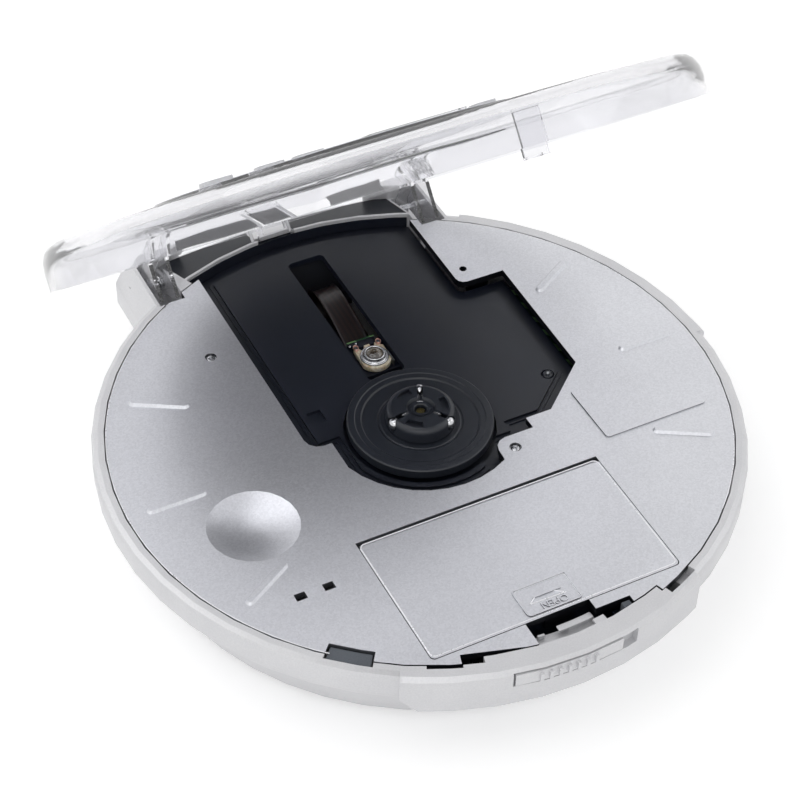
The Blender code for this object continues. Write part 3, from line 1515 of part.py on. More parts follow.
def objective_lens():
    profile = [
        (0.0, LENS_BOTTOM),
        (LENS_RADIUS, LENS_BOTTOM),
        (LENS_RADIUS, LENS_EDGE_TOP),
        (LENS_RADIUS * 3 / 4, LENS_EDGE_TOP),
        (LENS_RADIUS / 2, LENS_EDGE_TOP + LENS_CROWN * 2 / 3),
        (0.0, LENS_EDGE_TOP + LENS_CROWN),
    ]
    lens = turned("objective_lens", profile, (LENS_X, LENS_Y), SMALL_STEPS)
    return finish(lens, clear_plastic, (LENS_X, LENS_Y, LENS_BOTTOM))


def guides():
    front = LUG_FRONT - GUIDE_END
    back = guide_lug_back() + LUG_THICK + GUIDE_END
    finish(rod("guide_rod", (GUIDE_X, GUIDE_Z), GUIDE_RADIUS, front, back, "Y"), bright_steel)
    back = screw_lug_back() + LUG_THICK + GUIDE_END
    screw = rod("feed_screw", (SCREW_X, GUIDE_Z), FEED_RADIUS, front, back, "Y")
    finish(screw, bright_steel, (SCREW_X, front, GUIDE_Z))
    back = front - CLEARANCE
    motor = rod("feed_motor", (SCREW_X, GUIDE_Z), FEED_MOTOR_RADIUS, back - FEED_MOTOR_LENGTH, back, "Y")
    finish(motor, bright_steel)


def flex_cable():
    """Flat ribbon that arches from the sled's back edge down to the floor of the mechanism."""
    upper = []
    for step in range(FLEX_STEPS + 1):
        share = step / FLEX_STEPS
        y = FLEX_START_Y + (FLEX_END_Y - FLEX_START_Y) * share
        if y < FLEX_CREST_Y:
            rise = (y - FLEX_START_Y) / (FLEX_CREST_Y - FLEX_START_Y)
            z = FLEX_START_Z + (FLEX_CREST_Z - FLEX_START_Z) * math.sin(rise * math.pi / 2)
        else:
            fall = (y - FLEX_CREST_Y) / (FLEX_END_Y - FLEX_CREST_Y)
            z = FLEX_END_Z + (FLEX_CREST_Z - FLEX_END_Z) * (1 + math.cos(fall * math.pi)) / 2
        upper.append((y, z))
    lower = [(y, z - FLEX_THICK) for y, z in reversed(upper)]
    ribbon = prism("flex_cable", upper + lower, FLEX_LEFT, FLEX_RIGHT, "X")
    return finish(ribbon, amber_film)


# Lid, modelled closed and hung on an empty at its hinge


def lid_bottom():
    return PANEL_TOP + CLEARANCE


def lid_dome(name, gap, bottom):
    """Turned solid of the lid, drawn in by a gap from its outer face."""
    base = lid_bottom()
    radius = LID_RADIUS - gap
    top = base + LID_HEIGHT - gap
    knee = base + SKIRT_HEIGHT
    profile = [(0.0, bottom), (radius, bottom), (radius, knee)]
    centre = (radius - LID_SHOULDER, knee)
    for share, fall in SHOULDER_SHARES:
        profile.append((centre[0] + LID_SHOULDER * share, knee + (top - knee) * fall))
    profile += [centre[:1] + (top,), (0.0, top + LID_CROWN)]
    return turned(name, profile, steps=ROUND_STEPS)


def raised_disc(name, gap, bottom):
    top = lid_bottom() + LID_HEIGHT + RAISED_HEIGHT - gap
    radius = RAISED_RADIUS - gap
    edge = RAISED_EDGE
    profile = [
        (0.0, bottom),
        (radius + edge, bottom),
        (radius + edge / 3, top - edge),
        (radius - edge, top),
        (0.0, top),
    ]
    return turned(name, profile, (0.0, RAISED_Y), RAISED_STEPS)


def arm_outline():
    """Side view of an arm: from the roof of the lid down into the slot and back to the pivot."""
    top = lid_bottom() + LID_HEIGHT - LID_WALL + OVERLAP
    tip_z = PANEL_TOP - ARM_TIP_DEPTH
    outline = [
        (ARM_FRONT_Y, top),
        (ARM_TIP_Y, PANEL_TOP),
        (ARM_TIP_Y, tip_z),
        (ARM_TIP_Y + ARM_TIP_WIDTH, tip_z),
    ]
    outline += arc((PIVOT_Y, PIVOT_Z), ARM_BARREL, BARREL_START, BARREL_END, BARREL_STEPS)
    outline += [(ARM_HEEL_Y, lid_bottom()), (ARM_HEEL_Y, lid_bottom() + SKIRT_HEIGHT)]
    return outline + [(ARM_FRONT_Y + ARM_TIP_WIDTH, top)]


def arm_plates():
    plates = []
    for side in (-1, 1):
        inner = SLOT_INNER + ARM_GAP
        outer = SLOT_OUTER - ARM_GAP
        for near, far in ((inner, inner + ARM_PLATE), (outer - ARM_PLATE, outer)):
            plates.append(prism("arm", arm_outline(), *sorted((side * near, side * far)), "X"))
    return plates


def lid_tab():
    """Frame that hangs from the lid's roof by the hinge and stops the lid in its recess."""
    roof = lid_bottom() + LID_HEIGHT - LID_WALL + OVERLAP
    foot = PANEL_TOP - TAB_REACH
    depth = (TAB_FRONT, TAB_FRONT + TAB_THICK)
    tab = box("lid_tab", (TAB_LEFT, TAB_RIGHT), depth, (foot, roof))
    window = (TAB_LEFT + TAB_BAR, TAB_RIGHT - TAB_BAR)
    past = (TAB_FRONT - OVERRUN, TAB_FRONT + TAB_THICK + OVERRUN)
    heights = (foot + TAB_BAR, PANEL_TOP + TAB_WINDOW_TOP)
    carve(tab, [box("tab_window", window, past, heights)])
    return tab


def lid_hook():
    """Hook on the lid's free edge, with a barb that the latch's lip holds down."""
    roof = lid_bottom() + LID_HEIGHT - LID_WALL + OVERLAP
    heights = (HOOK_BOTTOM, roof)
    hook = box("hook", (HOOK_LEFT, HOOK_RIGHT), (HOOK_FRONT, HOOK_FRONT + HOOK_THICK), heights)
    barb_heights = (HOOK_BOTTOM, HOOK_BOTTOM + BARB_HEIGHT)
    barb = box("barb", (BARB_LEFT, BARB_RIGHT), (BARB_FRONT, HOOK_FRONT + HOOK_THICK / 2), barb_heights)
    fuse(hook, [barb])
    return hook


def key_outline(edges, depth, corner, grow=0.0):
    front = KEY_Y - depth / 2
    back = KEY_Y + depth / 2
    return rectangle(edges[0] - grow, edges[1] + grow, front - grow, back + grow, corner + grow)


def roof_top():
    return lid_bottom() + LID_HEIGHT + RAISED_HEIGHT


def lid_shell(pivot):
    lid = lid_dome("lid_shell", 0.0, lid_bottom())
    fuse(lid, [raised_disc("raised", 0.0, lid_bottom() + LID_HEIGHT - LID_WALL)])
    inside = lid_dome("inside", LID_WALL, lid_bottom() - OVERRUN)
    fuse(inside, [raised_disc("inside_raised", LID_WALL, lid_bottom() + LID_HEIGHT / 2)])
    carve(lid, [inside])
    low = lid_bottom() + WINDOW_LOW
    high = lid_bottom() + WINDOW_HIGH
    inner = LID_RADIUS - LID_WALL - OVERRUN / 4
    window = sector("window", inner, LID_RADIUS + OVERRUN, low, high, WINDOW_START, WINDOW_END)
    cuts = [window]
    roof = roof_top()
    low = roof - LID_WALL - OVERRUN
    for edges in KEY_EDGES:
        outline = key_outline(edges, KEY_DEPTH, KEY_CORNER, CLEARANCE)
        cuts.append(prism("key_hole", outline, low, roof + OVERRUN))
    outline = key_outline(PANE_EDGES, PANE_DEPTH, PANE_CORNER, CLEARANCE)
    cuts.append(prism("pane_hole", outline, low, roof + OVERRUN))
    carve(lid, cuts)
    ceiling = roof - LID_WALL + OVERLAP
    bottom = plate_top() + CLEARANCE
    pegs = [rod("peg", (x, PLATE_BACK - 2 * PEG_RADIUS), PEG_RADIUS, bottom, ceiling) for x in PEG_XS]
    boss_z = PANEL_TOP + ARM_BOSS_HEIGHT
    ends = (SLOT_INNER + ARM_GAP + ARM_PLATE / 2, SLOT_OUTER - ARM_GAP - ARM_PLATE / 2)
    boss = rod("spring_boss", (ARM_BOSS_Y, boss_z), ARM_BOSS_RADIUS, *ends, "X", BORE_STEPS)
    fuse(lid, arm_plates() + [lid_tab(), lid_hook(), boss] + pegs)
    bores = []
    for side in (-1, 1):
        ends = sorted((side * SLOT_INNER, side * SLOT_OUTER))
        bores.append(rod("pin_bore", (PIVOT_Y, PIVOT_Z), PIN_RADIUS + CLEARANCE, *ends, "X"))
    carve(lid, bores)
    return finish(lid, clear_plastic, tuple(pivot.location), pivot)


def plate_top():
    return roof_top() - LID_WALL - PLATE_DROP


def lid_keys(pivot):
    """Push keys that stand in the raised roof, each held by a lip under it."""
    for number, edges in enumerate(KEY_EDGES, 1):
        key_body(f"lid_key_{number}", edges, KEY_DEPTH, KEY_CORNER, pivot)
    key_body("display_pane", PANE_EDGES, PANE_DEPTH, PANE_CORNER, pivot)


def key_body(name, edges, depth, corner, pivot):
    roof = roof_top()
    lip_top = roof - LID_WALL - CLEARANCE
    lip_bottom = lip_top - KEY_LIP_THICK
    key = prism(name, key_outline(edges, depth, corner), lip_bottom, roof + KEY_RISE)
    lip = prism("lip", key_outline(edges, depth, corner, KEY_LIP), lip_bottom, lip_top)
    fuse(key, [lip])
    origin = (sum(edges) / 2, KEY_Y, roof)
    return finish(key, clear_plastic, origin, pivot)


def key_plate(pivot):
    """Thin plate under the keys, carried by the pegs in the roof."""
    top = plate_top()
    outline = rectangle(-PLATE_HALF, PLATE_HALF, PLATE_FRONT, PLATE_BACK, KEY_CORNER)
    plate = prism("key_plate", outline, top - PLATE_THICK, top)
    inner = RAISED_RADIUS - 2 * LID_WALL
    limit = rod("limit", (0.0, RAISED_Y), inner, 0.0, roof_top(), steps=RAISED_STEPS)
    keep_inside(plate, limit)
    return finish(plate, black_plastic, tuple(pivot.location), pivot)


def arm_spring(pivot):
    """Small coil on the boss at the top of the right arm, its two tails pointing down the arm."""
    centre = (ARM_BOSS_Y, PANEL_TOP + ARM_BOSS_HEIGHT)
    room = SLOT_OUTER - SLOT_INNER - 2 * ARM_GAP - 2 * ARM_PLATE
    start = SLOT_INNER + ARM_GAP + ARM_PLATE + CLEARANCE + SPRING_WIRE
    span = room - 2 * CLEARANCE - 2 * SPRING_WIRE
    points = coil_points(start, span, centre, ARM_BOSS_RADIUS + CLEARANCE + 2 * SPRING_WIRE)
    coil = tube("arm_spring", points, SPRING_WIRE)
    return finish(coil, bright_steel, tuple(pivot.location), pivot)


def coil_points(start, span, centre, radius):
    """Helix about an axis along X, with a straight tail off each end."""
    steps = COIL_STEPS * COIL_TURNS
    helix = []
    for step in range(steps + 1):
        angle = 2.0 * math.pi * step / COIL_STEPS
        y = centre[0] + radius * math.cos(angle)
        z = centre[1] + radius * math.sin(angle)
        helix.append((start + span * step / steps, y, z))
    first = (start, centre[0] + radius, centre[1] - COIL_TAIL)
    last = (start + span, centre[0] + radius, centre[1] - COIL_TAIL)
    return [first] + helix[1:-1] + [last]


def lid_spring():
    """Coil round the left hinge pin that opens the lid."""
    start = -SLOT_OUTER + ARM_GAP + ARM_PLATE + CLEARANCE + SPRING_WIRE
    room = SLOT_OUTER - SLOT_INNER - 2 * ARM_GAP - 2 * ARM_PLATE
    span = room - 2 * CLEARANCE - 2 * SPRING_WIRE
    radius = PIN_RADIUS + 2 * CLEARANCE + SPRING_WIRE
    coil = tube("lid_spring", coil_points(start, span, (PIVOT_Y, PIVOT_Z), radius), SPRING_WIRE)
    return finish(coil, bright_steel)


def hinge_pins():
    for name, side in (("hinge_pin_left", -1), ("hinge_pin_right", 1)):
        ends = sorted((side * PIN_INNER, side * PIN_OUTER))
        pin = rod(name, (PIVOT_Y, PIVOT_Z), PIN_RADIUS, *ends, "X")
        finish(pin, bright_steel)


# Slide switch, latch and lid switch


def slide_knob():
    """Sliding knob with its ridges and the stem that reaches the latch."""
    knob = sector("slide_knob", KNOB_INNER, KNOB_OUTER - KNOB_RIDGE, KNOB_BOTTOM, KNOB_TOP,
                  SWITCH_START, SWITCH_END)
    parts = []
    for number in range(KNOB_RIDGES):
        start = RIDGE_START + number * RIDGE_PITCH
        low = KNOB_BOTTOM + KNOB_RIDGE
        high = KNOB_TOP - KNOB_RIDGE
        inner = KNOB_INNER + KNOB_RIDGE
        parts.append(sector("ridge", inner, KNOB_OUTER, low, high, start, start + RIDGE_ANGLE))
    inner = KNOB_INNER + OVERLAP
    parts.append(sector("stem", STEM_INNER, inner, STEM_BOTTOM, STEM_TOP, STEM_START, STEM_END))
    fuse(knob, parts)
    return finish(knob, silver_paint)


def latch_bar():
    """Sliding bar under the panel's edge, whose lip holds the lid's hook."""
    bar = sector("latch_bar", LATCH_INNER, LATCH_OUTER, LATCH_BOTTOM, LATCH_TOP, LATCH_START, LATCH_END)
    low = LATCH_TOP - OVERLAP
    block = sector("block", LATCH_INNER, BLOCK_OUTER, low, BLOCK_TOP, BLOCK_START, BLOCK_END)
    ends = (LIP_START, LIP_END)
    post = sector("post", LIP_POST_INNER, LIP_POST_OUTER, low, LIP_TOP, *ends)
    lip = sector("lip", LIP_INNER, LIP_POST_INNER + OVERLAP, LIP_BOTTOM, LIP_TOP, *ends)
    fuse(post, [lip])
    fuse(bar, [block, post])
    return finish(bar, white_plastic)


def slider_spring():
    """Coil that draws the latch back."""
    points = []
    steps = COIL_STEPS * SPRING_TURNS
    for step in range(steps + 1):
        share = step / steps
        along_angle = SPRING_START + (SPRING_END - SPRING_START) * share
        angle = 2.0 * math.pi * step / COIL_STEPS
        radius = SPRING_PITCH_RADIUS + SPRING_RADIUS * math.cos(angle)
        points.append((*polar(radius, along_angle), SPRING_Z + SPRING_RADIUS * math.sin(angle)))
    return finish(tube("slider_spring", points, SPRING_WIRE), bright_steel)


def lid_switch():
    """Button in the right-hand cut-out that the closed lid's edge would reach, and its box below."""
    sides = (LIDSWITCH_LEFT, LIDSWITCH_RIGHT)
    depth = (LIDSWITCH_FRONT, LIDSWITCH_BACK)
    heights = (SWITCHBOX_FLOOR + CLEARANCE + SCREW_HEAD_HEIGHT, LIDSWITCH_TOP)
    button = box("lid_switch", sides, depth, heights)
    origin = (sum(sides) / 2, sum(depth) / 2, LIDSWITCH_TOP)
    finish(button, grey_rubber, origin)
    outer = (sides[0] - SWITCHBOX_MARGIN, sides[1] + SWITCHBOX_MARGIN)
    outer_depth = (depth[0] - SWITCHBOX_MARGIN, depth[1] + SWITCHBOX_MARGIN)
    housing = box("lid_switch_box", outer, outer_depth, (POCKET_FLOOR + CLEARANCE, SWITCHBOX_TOP))
    room = (sides[0] - CLEARANCE, sides[1] + CLEARANCE)
    room_depth = (depth[0] - CLEARANCE, depth[1] + CLEARANCE)
    carve(housing, [box("room", room, room_depth, (SWITCHBOX_FLOOR, SWITCHBOX_TOP + OVERRUN))])
    finish(housing, black_plastic)


# Sockets and controls on the right


def turned_to(obj, degrees):
    """Turn a piece modelled along +X to its place round the rim."""
    obj.data.transform(Matrix.Rotation(math.radians(degrees), 4, "Z"))
    return obj


def jack(name, degrees, bore, depth, pin=0.0):
    low = BOARD_BOTTOM + BOARD_THICK + CLEARANCE
    body = box(name, (JACK_INNER, JACK_SHOULDER - FIT), (-JACK_HALF, JACK_HALF), (low, JACK_TOP))
    fuse(body, [rod("nose", (0.0, JACK_Z), JACK_NOSE, JACK_SHOULDER - 2 * FIT, JACK_FACE, "X")])
    ends = (JACK_FACE - depth, JACK_FACE + OVERRUN)
    carve(body, [rod("bore", (0.0, JACK_Z), bore, *ends, "X")])
    if pin:
        ends = (JACK_FACE - depth - OVERLAP, JACK_FACE - DC_PIN_BACK)
        fuse(body, [rod("pin", (0.0, JACK_Z), pin, *ends, "X", BORE_STEPS)])
    return finish(turned_to(body, degrees), black_plastic)


def volume_parts():
    spot = polar(WHEEL_CENTRE, VOLUME_ANGLE)
    low = BOARD_BOTTOM + BOARD_THICK + CLEARANCE
    profile = [
        (0.0, low),
        (POT_RADIUS, low),
        (POT_RADIUS, POT_TOP),
        (POT_SHAFT, POT_TOP),
        (POT_SHAFT, POT_SHAFT_TOP),
        (0.0, POT_SHAFT_TOP),
    ]
    finish(turned("volume_pot", profile, spot, SMALL_STEPS), black_plastic)
    outline = []
    for tooth in range(WHEEL_TEETH):
        for share, radius in ((0.0, WHEEL_RADIUS - WHEEL_TOOTH), (0.5, WHEEL_RADIUS)):
            angle = 2.0 * math.pi * (tooth + share) / WHEEL_TEETH
            outline.append((spot[0] + radius * math.cos(angle), spot[1] + radius * math.sin(angle)))
    wheel = prism("volume_wheel", outline, WHEEL_BOTTOM, WHEEL_TOP)
    carve(wheel, [rod("bore", spot, WHEEL_BORE, WHEEL_BOTTOM - OVERRUN, WHEEL_TOP + OVERRUN)])
    finish(wheel, black_plastic, (*spot, WHEEL_BOTTOM))


def hold_switch():
    """Knob through the wall, with a lip behind it that keeps it in its slot."""
    ends = (HOLD_ANGLE - HOLD_HALF_ANGLE - HOLD_TRAVEL, HOLD_ANGLE + HOLD_HALF_ANGLE - HOLD_TRAVEL)
    low = HOLD_Z - HOLD_HALF_HEIGHT
    high = HOLD_Z + HOLD_HALF_HEIGHT
    knob = sector("hold_switch", HOLD_BACK, HOLD_OUTER, low, high, *ends)
    lip_outer = SIDE_POCKET_RADIUS - CLEARANCE
    lip = sector("lip", HOLD_BACK, lip_outer, low - HOLD_LIP, high + HOLD_LIP,
                 ends[0] - HOLD_LIP_ANGLE, ends[1] + HOLD_LIP_ANGLE)
    fuse(knob, [lip])
    return finish(knob, grey_rubber)


def main_board():
    outline = facet_arc(BOARD_RADIUS, BOARD_START, BOARD_END)
    start = (BOARD_LEFT, outline[-1][1])
    end = (BOARD_LEFT, outline[0][1])
    board = prism("main_board", outline + [start, end], BOARD_BOTTOM, BOARD_BOTTOM + BOARD_THICK)
    return finish(board, green_board)


# Fixings, feet and the rubber block


def case_screws():
    for number, angle in enumerate(BOSS_ANGLES, 1):
        profile = [
            (0.0, SCREW_DEPTH - SCREW_HEAD_HEIGHT),
            (SCREW_HEAD_RADIUS, SCREW_DEPTH - SCREW_HEAD_HEIGHT),
            (SCREW_HEAD_RADIUS, SCREW_DEPTH),
            (SCREW_SHANK_RADIUS, SCREW_DEPTH),
            (SCREW_SHANK_RADIUS, SCREW_DEPTH + SCREW_SHANK_LENGTH),
            (0.0, SCREW_DEPTH + SCREW_SHANK_LENGTH),
        ]
        spot = polar(BOSS_PITCH_RADIUS, angle)
        finish(turned(f"case_screw_{number}", profile, spot, BORE_STEPS), bright_steel)


def panel_screws():
    for number, spot in enumerate(PANEL_SCREWS, 1):
        seat = PANEL_TOP - PANEL_SCREW_SUNK + CLEARANCE / 2
        profile = [
            (0.0, seat - PANEL_SCREW_LENGTH),
            (PANEL_SCREW_SHANK, seat - PANEL_SCREW_LENGTH),
            (PANEL_SCREW_SHANK, seat),
            (PANEL_SCREW_HEAD, seat),
            (PANEL_SCREW_HEAD, seat + PANEL_SCREW_HEIGHT),
            (0.0, seat + PANEL_SCREW_HEIGHT),
        ]
        finish(turned(f"panel_screw_{number}", profile, spot, SMALL_STEPS), bright_steel)


def feet():
    for number, angle in enumerate(FOOT_ANGLES, 1):
        top = FOOT_RECESS - CLEARANCE
        profile = [
            (0.0, -FOOT_STAND),
            (FOOT_RADIUS - FOOT_EDGE, -FOOT_STAND),
            (FOOT_RADIUS, FOOT_EDGE - FOOT_STAND),
            (FOOT_RADIUS, top),
            (0.0, top),
        ]
        spot = polar(FOOT_PITCH_RADIUS, angle)
        finish(turned(f"foot_{number}", profile, spot, SMALL_STEPS), grey_rubber)


def bumper_block():
    ends = (BUMPER_START, BUMPER_END)
    block = sector("bumper_block", BUMPER_INNER, BUMPER_OUTER, BUMPER_BOTTOM, BUMPER_TOP, *ends)
    return finish(block, grey_rubber)


def main():
    for obj in list(bpy.data.objects):
        bpy.data.objects.remove(obj)
    lower_case()
    top_panel()
    battery_tray()
    battery_contacts()
    battery_door()
    mechanism_deck()
    dampers()
    spindle_motor()
    turntable()
    clamp_hub()
    clamp_balls()
    spindle_shaft()
    pickup_sled()
    lens_holder()
    objective_lens()
    guides()
    flex_cable()
    pivot = bpy.data.objects.new("lid_pivot", None)
    bpy.context.scene.collection.objects.link(pivot)
    pivot.location = (0.0, PIVOT_Y, PIVOT_Z)
    lid_shell(pivot)
    lid_keys(pivot)
    key_plate(pivot)
    arm_spring(pivot)
    pivot.rotation_euler = (math.radians(-LID_OPEN), 0.0, 0.0)
    hinge_pins()
    lid_spring()
    slide_knob()
    latch_bar()
    slider_spring()
    lid_switch()
    jack("dc_jack", DC_ANGLE, DC_BORE, DC_DEPTH, DC_PIN)
    jack("phones_jack", PHONES_ANGLE, PHONES_BORE, PHONES_DEPTH)
    volume_parts()
    hold_switch()
    main_board()
    case_screws()
    panel_screws()
    feet()
    bumper_block()


main()
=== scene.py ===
"""Portable disc player with a clear lid: finishes, fine parts and the studio round it."""

import math

import bmesh
import bpy
from mathutils import Matrix, Vector


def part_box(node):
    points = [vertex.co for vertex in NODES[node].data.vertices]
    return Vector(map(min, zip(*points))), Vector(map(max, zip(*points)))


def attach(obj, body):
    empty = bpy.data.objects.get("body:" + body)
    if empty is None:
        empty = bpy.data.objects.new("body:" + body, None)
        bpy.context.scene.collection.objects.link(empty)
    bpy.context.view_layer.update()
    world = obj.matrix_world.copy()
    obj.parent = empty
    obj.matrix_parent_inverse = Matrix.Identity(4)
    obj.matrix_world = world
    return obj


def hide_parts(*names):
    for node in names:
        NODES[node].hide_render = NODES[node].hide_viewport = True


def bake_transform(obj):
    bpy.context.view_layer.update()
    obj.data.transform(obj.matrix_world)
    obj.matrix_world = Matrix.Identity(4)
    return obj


bl_info = {
    "name": "Portable Disc Player",
    "version": (1, 0, 0),
    "blender": (4, 5, 0),
    "location": "View3D > Sidebar > Disc Player",
    "description": "Finishes, fine parts and studio for a portable disc player",
    "category": "Object",
}

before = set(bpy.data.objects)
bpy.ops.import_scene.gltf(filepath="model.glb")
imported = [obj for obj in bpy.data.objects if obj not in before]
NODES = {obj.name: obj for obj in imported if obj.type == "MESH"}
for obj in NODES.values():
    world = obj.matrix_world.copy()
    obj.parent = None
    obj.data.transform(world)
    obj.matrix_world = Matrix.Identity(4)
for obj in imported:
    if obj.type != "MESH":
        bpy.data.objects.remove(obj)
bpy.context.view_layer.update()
MM = 0.001
LID_ANGLE = math.radians(42.0)

# Places, levels and radii that several pieces share, in millimetres, as in the part's source.
HINGE_LINE = (69.3, 16.5)
PANEL_TOP = 21.0
LEDGE_FRONT = 68.7
LEDGE_BACK = 75.4
SHELF_RADIUS = 69.0
SHELF_TOP = 20.4
SHELF_FALL = 3.9
SHELF_RUN = 11.0
LOCATOR = (32.8, 2.35)
BALL_ANGLES = (65.0, 186.0, 306.0)
BALL_RING = 6.6
BALL_RADIUS = 1.3
BALL_LEVEL = 22.8
LENS = (1.6, 25.0)
ROOF_CENTRE = (0.0, 20.0)
PRINT_RADIUS = 39.1
SKIRT_INSIDE = 67.0
KEYS = ((-33.2, -26.5), (-21.1, -15.1), (-12.6, -6.2), (28.7, 33.9))
KEY_ROW = 8.0
KEY_TOP = 33.5
PANE = (3.6, 26.2)

PIVOT = Vector((0.0, HINGE_LINE[0] * MM, HINGE_LINE[1] * MM))


def linear(code):
    """Linear colour of an sRGB hex value."""
    channels = [int(code[i : i + 2], 16) / 255.0 for i in (1, 3, 5)]
    return tuple(c / 12.92 if c <= 0.04045 else ((c + 0.055) / 1.055) ** 2.4 for c in channels) + (1.0,)


def pitch(millimetres):
    """Texture scale at which one feature is this many millimetres across."""
    return 1.0 / (millimetres * MM)


def node(tree, kind, sockets=None, **settings):
    """Add a node, set its properties, and fill its sockets with values or links."""
    made = tree.nodes.new("ShaderNode" + kind)
    for key, value in settings.items():
        setattr(made, key, value)
    for socket, value in (sockets or {}).items():
        if isinstance(value, bpy.types.NodeSocket):
            tree.links.new(value, made.inputs[socket])
        else:
            made.inputs[socket].default_value = value
    return made


def material(name, build, sockets):
    """Principled material; build returns the sockets that its pattern drives."""
    made = bpy.data.materials.new(name)
    made.use_nodes = True
    tree = made.node_tree
    tree.nodes.clear()
    place = node(tree, "TexCoord").outputs["Object"]
    shader = node(tree, "BsdfPrincipled", {**sockets, **build(tree, place)})
    node(tree, "OutputMaterial", {"Surface": shader.outputs[0]})
    return made


def grained(name, low, high, grain, depth, sockets, blotch=14.0, spread=0.06):
    """Moulded or sprayed finish: a grain of the given size and depth in mm, and wide soft blotches.

    A real grain that is too fine to show is drawn at 0.2 mm or more.
    """

    def build(tree, place):
        fine = node(tree, "TexNoise", {"Vector": place, "Scale": pitch(grain), "Detail": 2.0}).outputs[0]
        wide = node(tree, "TexNoise", {"Vector": place, "Scale": pitch(blotch), "Detail": 3.0}).outputs[0]
        both = node(tree, "Math", {0: fine, 1: wide}, operation="ADD").outputs[0]
        span = {"Value": both, "From Min": 0.6, "From Max": 1.4}
        share = node(tree, "MapRange", span).outputs[0]
        base = sockets["Roughness"]
        rough = node(tree, "MapRange", {**span, "To Min": base - spread, "To Max": base + spread}).outputs[0]
        bump = node(tree, "Bump", {"Height": fine, "Distance": depth * MM, "Strength": 0.6}).outputs[0]
        colour = node(tree, "Mix", {"Factor": share, "A": linear(low), "B": linear(high)}, data_type="RGBA")
        return {"Base Color": colour.outputs["Result"], "Roughness": rough, "Normal": bump}

    return material(name, build, sockets)


def panel_paint():
    """Metallic lacquer sprayed on ABS: aluminium flake gives it a fine sparkle and a soft sheen. Upright
    walls get painted shade in place of the lacquer: grey round the battery door and dark round the deck and
    the front windows. Flake is near 0.05 mm and is drawn at 0.35 mm, to show."""
    look = bpy.context.scene.disc_player
    door_middle, door_reach = -39.0, 16.5

    def build(tree, place):
        cells = node(tree, "TexVoronoi", {"Vector": place, "Scale": pitch(0.35)})
        flake = node(tree, "SeparateColor", {"Color": cells.outputs["Color"]}).outputs["Red"]
        wide = node(tree, "TexNoise", {"Vector": place, "Scale": pitch(30.0), "Detail": 2.0}).outputs[0]
        share = node(tree, "Math", {0: flake, 1: 0.75, 2: wide}, operation="MULTIPLY_ADD").outputs[0]
        share = node(tree, "MapRange", {"Value": share, "From Min": 0.2, "From Max": 1.5}).outputs[0]
        rough = node(tree, "MapRange", {"Value": flake, "To Min": 0.33, "To Max": 0.39}).outputs[0]
        grain = node(tree, "TexNoise", {"Vector": place, "Scale": pitch(0.7), "Detail": 1.0}).outputs[0]
        bump = node(tree, "Bump", {"Height": grain, "Distance": 0.006 * MM, "Strength": 0.5}).outputs[0]
        # Painted shade: faces that do not face up take a wall colour in place of the lacquer.
        facing = node(tree, "TexCoord").outputs["Normal"]
        upward = node(tree, "SeparateXYZ", {"Vector": facing}).outputs["Z"]
        upward_share = node(tree, "MapRange", {"Value": upward, "From Min": 0.15, "From Max": 0.45}).outputs[0]
        along = node(tree, "SeparateXYZ", {"Vector": place}).outputs["Y"]
        away = node(tree, "Math", {0: along, 1: -door_middle * MM}, operation="ADD").outputs[0]
        away = node(tree, "Math", {0: away}, operation="ABSOLUTE").outputs[0]
        # Painted shade on the walls: grey within the door's reach, dark beyond it.
        dark = node(tree, "MapRange", {"Value": away, "From Min": door_reach * MM,
                                       "From Max": (door_reach + 0.5) * MM}).outputs[0]
        wall = node(tree, "Mix", {"Factor": dark, "A": linear("#8E9096"), "B": linear("#23252B")},
                    data_type="RGBA").outputs["Result"]
        spray = node(tree, "Mix", {"Factor": share, "A": linear("#C9CACF"), "B": look.silver},
                     data_type="RGBA").outputs["Result"]
        coat = node(tree, "Mix", {"Factor": upward_share, "A": wall, "B": spray}, data_type="RGBA")
        return {"Base Color": coat.outputs["Result"], "Roughness": rough, "Normal": bump}

    return material("metallic_lacquer_and_wall_shade", build, {"Metallic": look.flake, "Coat Weight": 0.15,
                                                        "Coat Roughness": 0.3})


def edge_highlight_paint():
    """Painted highlight: near-white lacquer colour laid on a chamfer, to draw the one fine light line seen
    there.
    """
    sockets = {"Metallic": 0.5, "Roughness": 0.3, "Coat Weight": 0.3}
    return grained("painted_edge_highlight", "#EDEDF1", "#F7F7FA", 0.35, 0.001, sockets)


def case_paint():
    """The same lacquer on the outer case, in a paler mix."""
    sockets = {"Metallic": 0.35, "Roughness": 0.4, "Coat Weight": 0.1, "Coat Roughness": 0.35}
    return grained("pale_metallic_lacquer", "#CCCCCF", "#DBDBDD", 0.35, 0.003, sockets)


def black_abs():
    """Black ABS moulded in a spark-eroded tool: a fine even grain, with a cool grey bloom in the light."""
    sockets = {"Roughness": 0.42, "IOR": 1.54, "Specular IOR Level": 0.45}
    return grained("black_moulded_abs", "#0B0F19", "#141926", 0.25, 0.003, sockets)


def glossy_black():
    """Black acetal, turned smooth: darker, with a clearer shine."""
    sockets = {"Roughness": 0.36, "IOR": 1.48}
    return grained("black_turned_acetal", "#1A1D24", "#22262E", 0.25, 0.0008, sockets, spread=0.04)


def grey_rubber():
    """Dark grey silicone rubber: matt, slightly dusty."""
    sockets = {"Roughness": 0.72, "IOR": 1.41, "Sheen Weight": 0.15}
    return grained("grey_silicone_rubber", "#4E5258", "#5F646B", 0.3, 0.006, sockets)


def plated_steel():
    """Bright nickel-plated steel: close to a mirror, with a fine grain."""
    sockets = {"Metallic": 1.0, "Roughness": 0.16}
    return grained("nickel_plated_steel", "#B9BABD", "#D5D6D8", 0.2, 0.001, sockets, spread=0.05)


def zinc_steel():
    """Zinc-plated steel can: greyer, with broad cloudy spangle."""
    sockets = {"Metallic": 1.0, "Roughness": 0.34}
    return grained("zinc_plated_steel", "#8D9093", "#AEB1B4", 0.6, 0.002, sockets, blotch=3.0)


